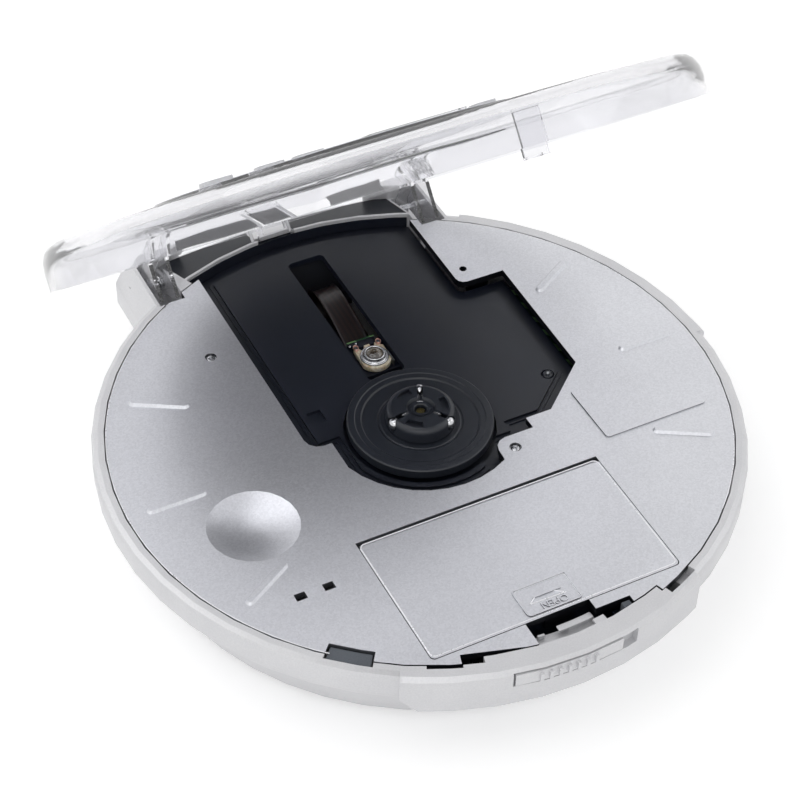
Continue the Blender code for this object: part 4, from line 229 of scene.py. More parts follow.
def gold_contact():
    """Gold-flashed spring brass."""
    sockets = {"Metallic": 1.0, "Roughness": 0.22}
    return grained("gold_flashed_brass", "#B08A42", "#D3AE62", 0.25, 0.001, sockets)


def clear_styrene():
    """Clear moulded polystyrene: water-clear, faintly wavy from the mould, with a soft haze inside."""
    look = bpy.context.scene.disc_player

    def build(tree, place):
        wave = node(tree, "TexNoise", {"Vector": place, "Scale": pitch(18.0), "Detail": 1.0}).outputs[0]
        bump = node(tree, "Bump", {"Height": wave, "Distance": 0.06 * MM, "Strength": 0.5}).outputs[0]
        rough = node(tree, "MapRange", {"Value": wave, "To Min": look.haze * 0.5, "To Max": look.haze * 1.5})
        tint = node(tree, "Mix", {"Factor": wave, "A": linear("#EDEDF0"), "B": look.clear}, data_type="RGBA")
        return {"Base Color": tint.outputs["Result"], "Roughness": rough.outputs[0], "Normal": bump}

    return material("clear_moulded_styrene", build, {"Transmission Weight": 0.97, "IOR": 1.5})


def cream_polymer():
    """Cream liquid-crystal polymer of the pickup, stained ochre where the glue ran."""
    sockets = {"Roughness": 0.38, "Subsurface Weight": 0.1, "Subsurface Scale": 0.5 * MM}
    return grained("cream_crystal_polymer", "#B49C74", "#ECE6D6", 0.7, 0.03, sockets, blotch=1.4)


def copper_wire():
    """Enamelled copper winding wire: pinkish red, glossy."""
    sockets = {"Metallic": 1.0, "Roughness": 0.3, "Coat Weight": 0.4}
    return grained("enamelled_copper_wire", "#B48274", "#DDB5A8", 0.3, 0.001, sockets)


def black_film():
    """Black matt film, creased in wide soft folds: the sheets in the slot, painted shade of its depth, and
    the film on the front of the pickup board.
    """
    return grained("black_matt_film", "#14161D", "#20232C", 5.0, 0.1, {"Roughness": 0.75})


def silver_print():
    """Silver ink screen-printed on a thin sheet, with faint rings turned into it every 0.9 mm."""

    def build(tree, place):
        centre = opened() @ (Vector((*ROOF_CENTRE, 32.4)) * MM)
        offset = node(tree, "VectorMath", {0: place, 1: tuple(centre)}, operation="DISTANCE")
        rings = node(tree, "Math", {0: offset.outputs["Value"], 1: math.tau * pitch(0.9)},
                     operation="MULTIPLY").outputs[0]
        rings = node(tree, "Math", {0: rings}, operation="SINE").outputs[0]
        share = node(tree, "MapRange", {"Value": rings, "From Min": -1.0}).outputs[0]
        bump = node(tree, "Bump", {"Height": share, "Distance": 0.01 * MM}).outputs[0]
        ink = node(tree, "Mix", {"Factor": share, "A": linear("#DCDDE2"), "B": linear("#E8E9ED")},
                   data_type="RGBA")
        return {"Base Color": ink.outputs["Result"], "Normal": bump}

    return material("silver_screen_print", build, {"Metallic": 0.3, "Roughness": 0.35})


def pale_backing():
    """Pale ink on the back of the printed sheet: even, with a slight orange peel."""
    sockets = {"Roughness": 0.45}
    return grained("pale_backing_ink", "#B4B5BC", "#C2C3CA", 0.8, 0.01, sockets)


def display_glass():
    """Grey-green liquid-crystal glass: smooth, with a faint reflector grain behind it."""
    sockets = {"Roughness": 0.12, "Coat Weight": 0.6}
    return grained("liquid_crystal_glass", "#8A9486", "#9AA495", 0.3, 0.0005, sockets)


def printed_ink():
    """Dark grey pad-printed ink, a little uneven at its edges."""
    return grained("pad_printed_ink", "#24262B", "#33363C", 0.4, 0.003, {"Roughness": 0.6})


def key_plastic():
    """Milky acrylic key caps: glossy, with light passing through their edges."""
    sockets = {"Roughness": 0.22, "Transmission Weight": 0.35, "IOR": 1.49}
    return grained("milky_acrylic", "#E6E7EB", "#F2F2F5", 0.6, 0.002, sockets)


def shaded_lacquer():
    """Lacquer of the ledge behind the deck: the flake of the panel, made nearly black as painted reflection
    of the lid's dark underside.
    """
    sockets = {"Metallic": 0.3, "Roughness": 0.4, "Specular IOR Level": 0.2}
    return grained("painted_ledge_reflection", "#12151C", "#1A1E27", 0.35, 0.003, sockets)


def skirt_reflection_paint():
    """Dull dark grey: painted reflection of the dark deck, the grey that the skirt of the lid shows over the
    ledge.
    """
    return grained("painted_skirt_reflection", "#1E2029", "#2A2C37", 0.4, 0.002, {"Roughness": 0.45})


def dark_olive_brass():
    """Turned brass of the shaft, in a dark olive tone."""
    sockets = {"Metallic": 1.0, "Roughness": 0.38}
    return grained("dark_olive_brass_finish", "#5E5636", "#7C7350", 0.3, 0.001, sockets)


def green_board():
    """Fibreglass board under green solder mask, with paler copper tracks every 1.3 mm below it."""

    def build(tree, place):
        tracks = node(tree, "TexWave", {"Vector": place, "Scale": pitch(1.3) / math.tau, "Distortion": 2.5,
                                        "Detail Scale": 0.4}, bands_direction="DIAGONAL").outputs["Fac"]
        share = node(tree, "MapRange", {"Value": tracks, "From Min": 0.55, "From Max": 0.65}).outputs[0]
        bump = node(tree, "Bump", {"Height": share, "Distance": 0.03 * MM}).outputs[0]
        mask = node(tree, "Mix", {"Factor": share, "A": linear("#1F4A2C"), "B": linear("#6F9A62")},
                    data_type="RGBA")
        return {"Base Color": mask.outputs["Result"], "Normal": bump}

    return material("solder_masked_board", build, {"Roughness": 0.3, "Coat Weight": 0.4})


def polyimide():
    """Dark amber polyimide film with copper tracks at 0.6 mm pitch showing through it."""

    def build(tree, place):
        tracks = node(tree, "TexWave", {"Vector": place, "Scale": pitch(0.6) / math.tau}).outputs["Fac"]
        share = node(tree, "MapRange", {"Value": tracks, "From Min": 0.4, "From Max": 0.6}).outputs[0]
        film = node(tree, "Mix", {"Factor": share, "A": linear("#120B0D"), "B": linear("#241512")},
                    data_type="RGBA")
        return {"Base Color": film.outputs["Result"]}

    return material("amber_polyimide_film", build, {"Roughness": 0.3, "Coat Weight": 0.1, "IOR": 1.5})


def coated_lens():
    """Moulded lens with the glint of its coating: dark brown face-on, painted shade of the depth of the
    pickup behind it, and paler towards grazing angles, a painted sheen.
    """

    def build(tree, place):
        # Painted sheen and shade: the colour follows the view angle, dark face-on and paler at grazing
        # angles.
        grazing_share = node(tree, "LayerWeight", {"Blend": 0.4}).outputs["Facing"]
        depth = node(tree, "Mix", {"Factor": grazing_share, "A": linear("#2A2117"), "B": linear("#7D705A")},
                     data_type="RGBA")
        return {"Base Color": depth.outputs["Result"]}

    sockets = {"Roughness": 0.04, "IOR": 1.6, "Coat Weight": 1.0, "Coat Roughness": 0.02}
    return material("coated_optical_lens", build, sockets)


FINISH_OF = {
    "panel": ("top_panel", "battery_door"),
    "case": ("lower_case", "slide_knob", "latch_bar"),
    "deck": ("mechanism_deck", "battery_tray", "lid_switch_box", "pickup_sled", "volume_pot",
             "dc_jack", "phones_jack", "volume_wheel", "key_plate"),
    "screws": ("panel_screw_1", "panel_screw_2"),
    "rubber": ("damper_1", "damper_2", "damper_3", "foot_1", "foot_2", "foot_3", "foot_4", "lid_switch",
               "bumper_block", "hold_switch"),
    "steel": ("case_screw_1", "case_screw_2", "case_screw_3", "case_screw_4", "feed_screw", "guide_rod",
              "hinge_pin_left", "hinge_pin_right"),
    "contact": ("battery_link_contact", "battery_minus_contact", "battery_plus_contact"),
    "motor": ("feed_motor", "spindle_motor"),
    "clear": ("lid_shell", "display_pane"),
    "key": ("lid_key_1", "lid_key_2", "lid_key_3", "lid_key_4"),
    "board": ("main_board",),
}


def soften(obj, width=0.15):
    """Round the sharp edges of a part by a small radius in mm; shade all but its level faces smooth.

    Faces level in the case or in the lid stay flat-shaded, so that a fan of long triangles looks even.
    """
    tilted = opened().to_3x3() @ Vector((0.0, 0.0, 1.0))
    exact = 0.99995
    level = [max(abs(face.normal.z), abs(face.normal.dot(tilted))) > exact for face in obj.data.polygons]
    obj.data.polygons.foreach_set("use_smooth", [not flat for flat in level])
    weld = obj.modifiers.new("weld", "WELD")
    weld.merge_threshold = 0.001 * MM
    if width:
        bevel = obj.modifiers.new("edges", "BEVEL")
        bevel.width = width * MM
        bevel.segments = 2
        bevel.limit_method = "ANGLE"
        bevel.angle_limit = math.radians(40.0)
        bevel.use_clamp_overlap = True
    normals = obj.modifiers.new("normals", "WEIGHTED_NORMAL")
    normals.keep_sharp = True


def dress(names, finish, width=0.15):
    """Give CAD parts one finish and soft edges."""
    for name in names:
        obj = NODES[name]
        obj.data.materials.clear()
        obj.data.materials.append(finish)
        soften(obj, width)


def polar(radius, degrees, centre=(0.0, 0.0)):
    """Point at a radius and an angle about a centre."""
    angle = math.radians(degrees)
    return centre[0] + radius * math.cos(angle), centre[1] + radius * math.sin(angle)


def skin(bm, loops, closed=False):
    """Faces between loops of points, which are capped at both ends or closed on themselves."""
    rings = [[bm.verts.new(point) for point in loop] for loop in loops]
    pairs = list(zip(rings, rings[1:])) + ([(rings[-1], rings[0])] if closed else [])
    for low, high in pairs:
        for index, vert in enumerate(low):
            other = (index + 1) % len(low)
            bm.faces.new((vert, low[other], high[other], high[index]))
    if not closed:
        bm.faces.new(rings[0][::-1])
        bm.faces.new(rings[-1])


def lathe(bm, profile, centre=(0.0, 0.0), steps=72):
    """Whole turn about Z of a closed (radius, height) profile that keeps off the axis."""
    loops = []
    for step in range(steps):
        turn = 360.0 * step / steps
        loops.append([(*polar(radius, turn, centre), z) for radius, z in profile])
    skin(bm, loops, closed=True)


def slab(bm, outline, low, high):
    """Outline extruded between two heights."""
    skin(bm, [[(x, y, z) for x, y in outline] for z in (low, high)])


def brick(bm, low, high):
    """Block between two corners."""
    slab(bm, [(low[0], low[1]), (high[0], low[1]), (high[0], high[1]), (low[0], high[1])], low[2], high[2])


def wire(bm, points, radius, sides=10, closed=False):
    """Round wire along a path."""
    path = [Vector(point) for point in points]
    side = (path[1] - path[0]).orthogonal().normalized()
    loops = []
    for index, spot in enumerate(path):
        before = path[index - 1] if closed or index else spot
        after = path[(index + 1) % len(path)] if closed or index + 1 < len(path) else spot
        heading = (after - before).normalized()
        side = (side - heading * side.dot(heading)).normalized()
        other = heading.cross(side)
        loops.append([spot + (side * x + other * y)
                      for x, y in (polar(radius, 360.0 * n / sides) for n in range(sides))])
    skin(bm, loops, closed)


def arc(radius, start, end, steps, centre=(0.0, 0.0)):
    """Points of an arc, both ends included."""
    return [polar(radius, start + (end - start) * step / steps, centre) for step in range(steps + 1)]


def rounded(left, right, front, back, corner, steps=6):
    """Outline of a rectangle with rounded corners."""
    outline = []
    for x, y, start in ((right - corner, back - corner, 0), (left + corner, back - corner, 90),
                        (left + corner, front + corner, 180), (right - corner, front + corner, 270)):
        outline += arc(corner, start, start + 90, steps, (x, y))
    return outline


def put(name, bm, body, finish, replaced=(), width=0.0, place=None):
    """Object from a bmesh in millimetres, riding on a body and standing for CAD nodes."""
    bmesh.ops.recalc_face_normals(bm, faces=bm.faces)
    bm.transform((place or Matrix.Identity(4)) @ Matrix.Scale(MM, 4))
    mesh = bpy.data.meshes.new(name)
    bm.to_mesh(mesh)
    bm.free()
    obj = bpy.data.objects.new(name, mesh)
    bpy.context.scene.collection.objects.link(obj)
    mesh.materials.append(finish)
    soften(obj, width)
    if body:
        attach(obj, body)
    if replaced:
        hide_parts(*replaced)
    return obj


def carve(obj, cutter):
    """Cut a bmesh in millimetres out of an object, for good."""
    bmesh.ops.recalc_face_normals(cutter, faces=cutter.faces)
    cutter.transform(Matrix.Scale(MM, 4))
    mesh = bpy.data.meshes.new("cutter")
    cutter.to_mesh(mesh)
    cutter.free()
    tool = bpy.data.objects.new("cutter", mesh)
    bpy.context.scene.collection.objects.link(tool)
    kept = [(mod, mod.show_viewport) for mod in obj.modifiers]
    for mod, _ in kept:
        mod.show_viewport = False
    cut = obj.modifiers.new("cut", "BOOLEAN")
    cut.object = tool
    cut.solver = "EXACT"
    evaluated = obj.evaluated_get(bpy.context.evaluated_depsgraph_get())
    obj.data = bpy.data.meshes.new_from_object(evaluated)
    obj.modifiers.remove(cut)
    for mod, shown in kept:
        mod.show_viewport = shown
    bpy.data.objects.remove(tool)


def opened():
    """Move from the closed lid's place to where the lid stands at rest."""
    turn = Matrix.Rotation(-LID_ANGLE, 4, "X")
    return Matrix.Translation(PIVOT) @ turn @ Matrix.Translation(-PIVOT)


class PlayerSettings(bpy.types.PropertyGroup):
    """Colours, finish, wire and light of the disc player."""

    silver: bpy.props.FloatVectorProperty(name="Silver", description="Brightest colour of the lacquer",
                                          default=linear("#DEDFE4"), min=0.0, max=1.0, size=4,
                                          subtype="COLOR")
    clear: bpy.props.FloatVectorProperty(name="Clear", description="Palest tint of the clear lid",
                                         default=linear("#F4F4F6"), min=0.0, max=1.0, size=4,
                                         subtype="COLOR")
    flake: bpy.props.FloatProperty(name="Flake", description="Share of metal in the silver lacquer",
                                   default=0.85, min=0.0, max=1.0, subtype="FACTOR")
    haze: bpy.props.FloatProperty(name="Haze", description="Roughness of the clear lid", default=0.03,
                                  min=0.0, max=1.0, subtype="FACTOR")
    spring_wire: bpy.props.FloatProperty(name="Spring wire", description="Radius of the coil springs' wire",
                                         default=0.2 * MM, min=0.05 * MM, unit="LENGTH")
    key_light: bpy.props.FloatProperty(name="Key light", description="Power of the large soft lamp",
                                       default=3.0, min=0.0, unit="POWER")


class PLAYER_OT_case(bpy.types.Operator):
    """Finish the case, the panel, the battery door and their small fittings"""

    bl_idname = "disc_player.case"
    bl_label = "Case"

    def execute(self, context):
        dress(FINISH_OF["panel"], panel_paint())
        dress(FINISH_OF["case"], case_paint())
        dress(FINISH_OF["rubber"], grey_rubber())
        dress(FINISH_OF["steel"], plated_steel(), 0.0)
        dress(FINISH_OF["contact"], gold_contact(), 0.05)
        self.door_sign()
        self.edge_highlights()
        self.ledge()
        self.latch_cap()
        self.locator()
        for name in FINISH_OF["screws"]:
            self.screw(name)
        return {"FINISHED"}

    def door_sign(self):
        """Raised arrow and the word OPEN on the tab of the battery door."""
        bm = bmesh.new()
        corners = [(x, y, PANEL_TOP + 0.03) for x, y in ((-4.6, -55.1), (3.4, -55.4), (-0.7, -52.5))]
        for start, end in zip(corners, corners[1:] + corners[:1]):
            wire(bm, [start, end], 0.16, 8)
        # The arrow's raised outline is drawn near-white: painted highlight on its edges.
        put("door_arrow", bm, "door", edge_highlight_paint())
        letters = bpy.data.curves.new("door_word", "FONT")
        letters.body = "OPEN"
        letters.size = 2.3 * MM
        letters.extrude = 0.18 * MM
        letters.align_x = letters.align_y = "CENTER"
        letters.materials.append(NODES["battery_door"].data.materials[0])
        word = bpy.data.objects.new("door_word", letters)
        bpy.context.scene.collection.objects.link(word)
        place = Matrix.Translation(Vector((0.2, -56.5, PANEL_TOP)) * MM)
        word.matrix_world = place @ Matrix.Rotation(math.pi, 4, "Z")
        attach(word, "door")

    def edge_highlights(self):
        """Painted highlight: a light line along the edges of the door, of its tab and of the panel between
        its windows.
        """
        bm = bmesh.new()
        for outline, drop, radius in ((rounded(-27.75, 27.25, -58.35, -26.9, 1.1), 0.02, 0.13),
                                      (rounded(-6.0, 5.55, -57.7, -50.95, 0.8), 0.0, 0.12)):
            wire(bm, [(*spot, PANEL_TOP - drop) for spot in outline], radius, 8, closed=True)
        put("door_edge_highlight", bm, "door", edge_highlight_paint())
        bm = bmesh.new()
        for start, end in ((122.0, 227.5), (311.0, 418.0)):
            wire(bm, [(*spot, PANEL_TOP - 0.05) for spot in arc(66.3, start, end, 120)], 0.12, 8)
        put("panel_edge_highlight", bm, "base", edge_highlight_paint())

    def ledge(self):
        """Ledge behind the deck: painted dark reflection over its top and in the recess by the hinge tab,
        the pale lip along it and the dark wall below the lip.
        """
        painted_dark = shaded_lacquer()
        # Painted reflection: the ledge's top takes a near-black colour for the dark it mirrors.
        for name, left, right in (("ledge_left", -29.3, -7.4), ("ledge_right", 2.4, 29.3)):
            bm = bmesh.new()
            loops = []
            for step in range(25):
                x = left + (right - left) * step / 24
                front, back = math.sqrt(LEDGE_FRONT ** 2 - x * x), LEDGE_BACK
                low, high = (SHELF_TOP - SHELF_FALL * (math.hypot(x, y) - SHELF_RADIUS) / SHELF_RUN
                             for y in (front, back))
                loops.append([(x, front, low + 0.02), (x, back, high + 0.02), (x, back, high + 0.1),
                              (x, front, low + 0.1)])
            skin(bm, loops)
            put(name, bm, "base", painted_dark)
        bm = bmesh.new()
        # The same painted dark reflection on a sheet in the recess by the hinge tab.
        brick(bm, (-7.1, 68.5, 18.61), (2.1, 70.5, 18.69))
        put("ledge_recess", bm, "base", painted_dark)
        bm = bmesh.new()
        for start, end in ((65.2, 88.0), (96.2, 113.4)):
            wire(bm, [(*spot, SHELF_TOP + 0.12) for spot in arc(LEDGE_FRONT - 0.1, start, end, 40)], 0.1, 8)
        put("ledge_lip", bm, "base", NODES["lower_case"].data.materials[0])
        bm = bmesh.new()
        slab(bm, arc(68.34, 65.3, 113.3, 60) + arc(68.16, 113.3, 65.3, 60), 15.05, 20.15)
        put("ledge_wall", bm, "base", black_abs())

    def latch_cap(self):
        """Bright cap and spring post on the latch, seen in the window of the front edge."""
        bm = bmesh.new()
        slab(bm, arc(62.2, 268.3, 275.6, 12) + arc(60.7, 275.6, 268.3, 12), 18.7, 19.2)
        slab(bm, arc(61.8, 264.2, 265.7, 4) + arc(61.2, 265.7, 264.2, 4), 17.5, 18.9)
        put("latch_cap", bm, "open_switch", NODES["lower_case"].data.materials[0], width=0.2)

    def locator(self):
        """Dark cap over the locator of the deck, with a small bright tip."""
        bm = bmesh.new()
        lathe(bm, [(0.01, 18.05), (1.25, 18.05), (1.25, 18.3), (1.0, 18.5), (0.01, 18.5)], LOCATOR, 24)
        put("locator_cap", bm, "base", black_abs())
        bm = bmesh.new()
        lathe(bm, [(0.01, 18.52), (0.45, 18.52), (0.45, 18.7), (0.3, 18.85), (0.01, 18.85)], LOCATOR, 24)
        put("locator_tip", bm, "base", zinc_steel())

    def screw(self, name):
        """Countersunk screw with a cross recess, in the place of the plain one."""
        low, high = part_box(name)
        x, y = ((low[i] + high[i]) / 2 / MM for i in (0, 1))
        foot, top, radius = low[2] / MM, high[2] / MM, (high[0] - low[0]) / 2 / MM
        bm = bmesh.new()
        lathe(bm, [(0.01, foot), (radius * 0.55, foot), (radius * 0.55, top - 0.4),
                   (radius * 0.97, top - 0.3), (radius * 0.97, top - 0.12), (radius * 0.8, top - 0.03),
                   (0.01, top)], (x, y), 32)
        head = put(name + "_cross", bm, "base", plated_steel(), (name,))
        for along, across in ((0.62, 0.14), (0.14, 0.62)):
            cutter = bmesh.new()
            brick(cutter, (x - along * radius, y - across * radius, top - 0.28),
                  (x + along * radius, y + across * radius, top + 1.0))
            carve(head, cutter)


class PLAYER_OT_spindle(bpy.types.Operator):
    """Turntable with its mat, and the clamp hub with its spring wires and bright balls"""

    bl_idname = "disc_player.spindle"
    bl_label = "Spindle"

    def execute(self, context):
        acetal = glossy_black()
        steel = plated_steel()
        self.turntable(acetal)
        self.hub(acetal)
        self.arms(steel)
        for number, angle in enumerate(BALL_ANGLES, 1):
            bm = bmesh.new()
            bmesh.ops.create_uvsphere(bm, u_segments=32, v_segments=20, radius=BALL_RADIUS,
                                      matrix=Matrix.Translation((*polar(BALL_RING, angle), BALL_LEVEL)))
            put(f"ball_{number}_chrome", bm, f"ball_{number}", steel, (f"clamp_ball_{number}",))
        bm = bmesh.new()
        lathe(bm, [(0.01, 7.0), (1.0, 7.0), (1.0, 23.05), (0.85, 23.2), (0.3, 23.2), (0.25, 23.0),
                   (0.01, 22.9)], steps=32)
        put("shaft_tip", bm, "spindle", dark_olive_brass(), ("spindle_shaft",))
        return {"FINISHED"}

    def turntable(self, finish):
        """Disc with a stepped mat ring round its edge."""
        bm = bmesh.new()
        lathe(bm, [(1.3, 16.4), (4.0, 16.4), (4.0, 18.6), (15.4, 18.6), (15.7, 18.9), (15.7, 20.75),
                   (15.45, 21.0), (14.1, 21.0), (13.9, 20.85), (12.7, 20.85), (12.45, 20.5), (9.2, 20.5),
                   (9.0, 20.4), (8.7, 20.4), (8.5, 20.5), (1.3, 20.5)], steps=128)
        put("turntable_disc", bm, "spindle", finish, ("turntable",), 0.1)

    def hub(self, finish):
        """Hub with a pocket, a groove and a recess for each ball, and a collar round the shaft."""
        bm = bmesh.new()
        lathe(bm, [(1.3, 20.8), (7.4, 20.8), (7.4, 22.9), (7.25, 23.6), (6.9, 24.05), (6.3, 24.3),
                   (3.1, 24.3), (2.75, 23.5), (2.1, 23.5), (2.0, 23.9), (1.5, 23.9), (1.3, 23.7)], steps=96)
        hub = put("hub_body", bm, "spindle", finish, ("clamp_hub",), 0.08)
        for angle in BALL_ANGLES:
            cutter = bmesh.new()
            wire(cutter, [(*polar(4.2, angle), BALL_LEVEL), (*polar(9.0, angle), BALL_LEVEL)],
                 BALL_RADIUS + 0.2, 32)
            carve(hub, cutter)
            cutter = bmesh.new()
            wire(cutter, [(*polar(2.4, angle), 24.2), (*polar(6.2, angle), 24.2)], 0.62, 24)
            carve(hub, cutter)
            cutter = bmesh.new()
            outline = arc(5.9, angle + 22.0, angle + 62.0, 12) + arc(4.4, angle + 62.0, angle + 22.0, 12)
            slab(cutter, outline, 23.4, 26.0)
            carve(hub, cutter)

    def arms(self, finish):
        """Fine spring wires that press the balls outward, and the clip in the hub's mouth."""
        bm = bmesh.new()
        for angle in BALL_ANGLES:
            for side in (-1.0, 1.0):
                path = [(*polar(2.9, angle + 12.0 * side), 23.75), (*polar(3.7, angle + 7.0 * side), 23.82),
                        (*polar(4.55, angle + 4.5 * side), 23.8)]
                wire(bm, path, 0.07, 6)
        wire(bm, [(*spot, 23.72) for spot in arc(2.3, 52.0, 84.0, 10)], 0.1, 6)
        put("spring_wires", bm, "spindle", finish)


class PLAYER_OT_pickup(bpy.types.Operator):
    """Lens with its ring and coils on the cream holder, the board behind it and the ribbon"""

    bl_idname = "disc_player.pickup"
    bl_label = "Pickup"

    def execute(self, context):
        cream = cream_polymer()
        x, y = LENS
        bm = bmesh.new()
        slab(bm, self.bed_outline(), 16.1, 17.3)
        bed = put("pickup_bed", bm, "sled", cream, ("lens_holder",), 0.12)
        cutter = bmesh.new()
        wire(cutter, [(x, y, 15.0), (x, y, 19.0)], 2.45, 48)
        carve(bed, cutter)
        bm = bmesh.new()
        lathe(bm, [(2.45, 16.6), (3.25, 16.6), (3.25, 17.5), (3.05, 17.75), (2.85, 17.6), (2.7, 17.85),
                   (2.45, 17.9)], LENS, 64)
        put("lens_collar", bm, "sled", plated_steel(), width=0.08)
        bm = bmesh.new()
        lathe(bm, [(1.95, 17.3), (2.4, 17.3), (2.4, 18.35), (2.2, 18.55), (2.0, 18.45), (1.9, 18.1)],
              LENS, 64)
        put("lens_ring", bm, "lens", plated_steel())
        bm = bmesh.new()
        lathe(bm, [(0.01, 17.2), (1.9, 17.2), (1.9, 18.2), (1.6, 18.3), (1.35, 18.62), (1.0, 18.92),
                   (0.5, 19.12), (0.01, 19.18)], LENS, 64)
        put("lens_glass", bm, "lens", coated_lens(), ("objective_lens",))
        self.coils()
        self.board()
        self.ribbon()
        return {"FINISHED"}

    def bed_outline(self):
        """Round front, straight sides and three ears at the back."""
        x, y = LENS
        front = arc(3.65, 200.0, 340.0, 24, (x, y - 0.25))
        ears = [(x + 3.45, y + 2.6), (x + 2.9, y + 3.1), (x + 2.9, y + 4.1), (x + 1.9, y + 4.1),
                (x + 1.6, y + 3.0), (x + 0.7, y + 3.0), (x + 0.7, y + 4.2), (x - 0.6, y + 4.2),
                (x - 0.6, y + 3.0), (x - 1.8, y + 3.0), (x - 2.2, y + 4.1), (x - 3.2, y + 4.1),
                (x - 3.3, y + 2.6)]
        return front + ears

    def coils(self):
        """Copper windings at both sides, and their steel yoke."""
        x, y = LENS
        sides = [x + side * 2.75 for side in (-1.0, 1.0)]
        bm = bmesh.new()
        for middle in sides:
            for turn in range(5):
                ring = [(middle + 0.55 * math.cos(a), y + 3.75 + 0.75 * math.sin(a), 17.35 + 0.13 * turn)
                        for a in (math.tau * n / 20 for n in range(20))]
                wire(bm, ring, 0.08, 6, closed=True)
        put("coil_windings", bm, "sled", copper_wire())
        bm = bmesh.new()
        for middle in sides:
            brick(bm, (middle - 0.28, y + 3.3, 16.6), (middle + 0.28, y + 4.2, 17.75))
        brick(bm, (x + 3.15, y - 3.2, 15.85), (x + 3.45, y + 0.2, 17.6))
        put("coil_yoke", bm, "sled", zinc_steel(), width=0.06)

    def board(self):
        """Small upright board behind the holder, with its soldered joints."""
        bm = bmesh.new()
        brick(bm, (-1.9, 31.75, 12.0), (4.8, 32.05, 16.75))
        put("pickup_board", bm, "sled", green_board(), width=0.05)
        bm = bmesh.new()
        brick(bm, (-1.95, 31.5, 12.0), (4.85, 31.74, 16.6))
        put("board_shield", bm, "sled", black_film())
        bm = bmesh.new()
        for place in ((-1.6, 30.9, 16.4), (0.1, 31.3, 16.3)):
            bmesh.ops.create_uvsphere(bm, u_segments=16, v_segments=10, radius=0.34,
                                      matrix=Matrix.Translation(place))
        put("solder_joints", bm, "sled", plated_steel())

    def ribbon(self):
        """Film ribbon that arches from the sled down to the case, its two edges turned up a little.

        Its side view is a Catmull-Rom curve through the stations, (y, z) in mm.
        """
        right = [(0.7, -0.05), (1.5, 0.0), (2.2, -0.02), (2.7, 0.16), (2.9, 0.5)]
        across = [(-side, rise) for side, rise in reversed(right)] + [(0.0, -0.07)] + right
        stations = [(31.0, 14.2), (32.1, 14.6), (34.5, 15.4), (38.5, 16.1), (43.5, 16.4), (49.0, 16.2),
                    (53.4, 14.6), (55.2, 11.4), (54.2, 8.2), (51.5, 5.9), (48.5, 4.6)]
        thickness, steps = 0.15, 6
        loops = []
        for first, begin, finish, last in zip(stations, stations[1:], stations[2:], stations[3:]):
            for step in range(steps):
                t = step / steps
                y, z = (b + 0.5 * t * (c - a + t * (2 * a - 5 * b + 4 * c - d + t * (3 * (b - c) + d - a)))
                        for a, b, c, d in zip(first, begin, finish, last))
                ahead = [0.5 * (c - a + 2 * t * (2 * a - 5 * b + 4 * c - d)
                                + 3 * t * t * (3 * (b - c) + d - a))
                         for a, b, c, d in zip(first, begin, finish, last)]
                length = math.hypot(*ahead)
                up = (-ahead[1] / length, ahead[0] / length)
                x = 1.2 + 0.06 * (y - 38.0)
                top = [(x + side, y + up[0] * rise, z + up[1] * rise) for side, rise in across]
                under = [(x + side, y + up[0] * (rise - thickness), z + up[1] * (rise - thickness))
                         for side, rise in across]
                loops.append(top + under[::-1])
        bm = bmesh.new()
        skin(bm, loops)
        film = put("ribbon_film", bm, None, polyimide(), ("flex_cable",))
        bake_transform(film)


class PLAYER_OT_mechanism(bpy.types.Operator):
    """Finish the deck and the motors, boards and springs below it"""

    bl_idname = "disc_player.mechanism"
    bl_label = "Mechanism"

    def execute(self, context):
        dress(FINISH_OF["deck"], black_abs())
        dress(FINISH_OF["motor"], zinc_steel())
        dress(FINISH_OF["board"], green_board())
        self.films()
        self.springs()
        return {"FINISHED"}

    def films(self):
        """Black sheets on the floor and up the back wall, painted shade of the slot's depth, which hide the
        case's silver from the slot.
        """
        bm = bmesh.new()
        brick(bm, (-9.5, 13.5, 2.05), (11.0, 58.0, 2.25))
        put("floor_shade_film", bm, "base", black_film())
        bm = bmesh.new()
        profile = ((59.8, 2.3), (60.4, 4.1), (62.1, 8.1), (63.6, 12.2), (63.9, 14.6))
        loops = []
        for step in range(25):
            turn = 78.0 + step
            loops.append([(*polar(radius, turn), z) for radius, z in profile]
                         + [(*polar(radius - 0.15, turn), z) for radius, z in reversed(profile)])
        skin(bm, loops)
        put("wall_shade_film", bm, "base", black_film())

    def springs(self):
        """Coil springs of the lid, of its arm and of the slide, wound from 0.4 mm wire."""
        steel = plated_steel()
        gauge = bpy.context.scene.disc_player.spring_wire / MM
        for name, x, y, z, radius, body, place in (("lid_spring", -33.0, *HINGE_LINE, 1.85, "base", None),
                                                   ("arm_spring", 33.0, 56.0, 25.4, 1.84, "lid", opened())):
            helix = [(x - 1.9 + 3.8 * n / 72, y + radius * math.cos(math.tau * n / 18),
                      z + radius * math.sin(math.tau * n / 18)) for n in range(73)]
            legs = [(helix[end][0], helix[end][1], z - 2.8) for end in (0, -1)]
            bm = bmesh.new()
            wire(bm, [legs[0], *helix, legs[1]], gauge, 8)
            put(name + "_wire", bm, body, steel, (name,), place=place)
        bm = bmesh.new()
        helix = []
        turns, steps = 8, 14
        for n in range(turns * steps + 1):
            turn = math.tau * n / steps
            spot = polar(63.7 + 1.4 * math.cos(turn), 251.2 + 10.4 * n / (turns * steps))
            helix.append((*spot, 16.0 + 1.4 * math.sin(turn)))
        wire(bm, helix, gauge, 8)
        put("slider_spring_wire", bm, "base", steel, ("slider_spring",))


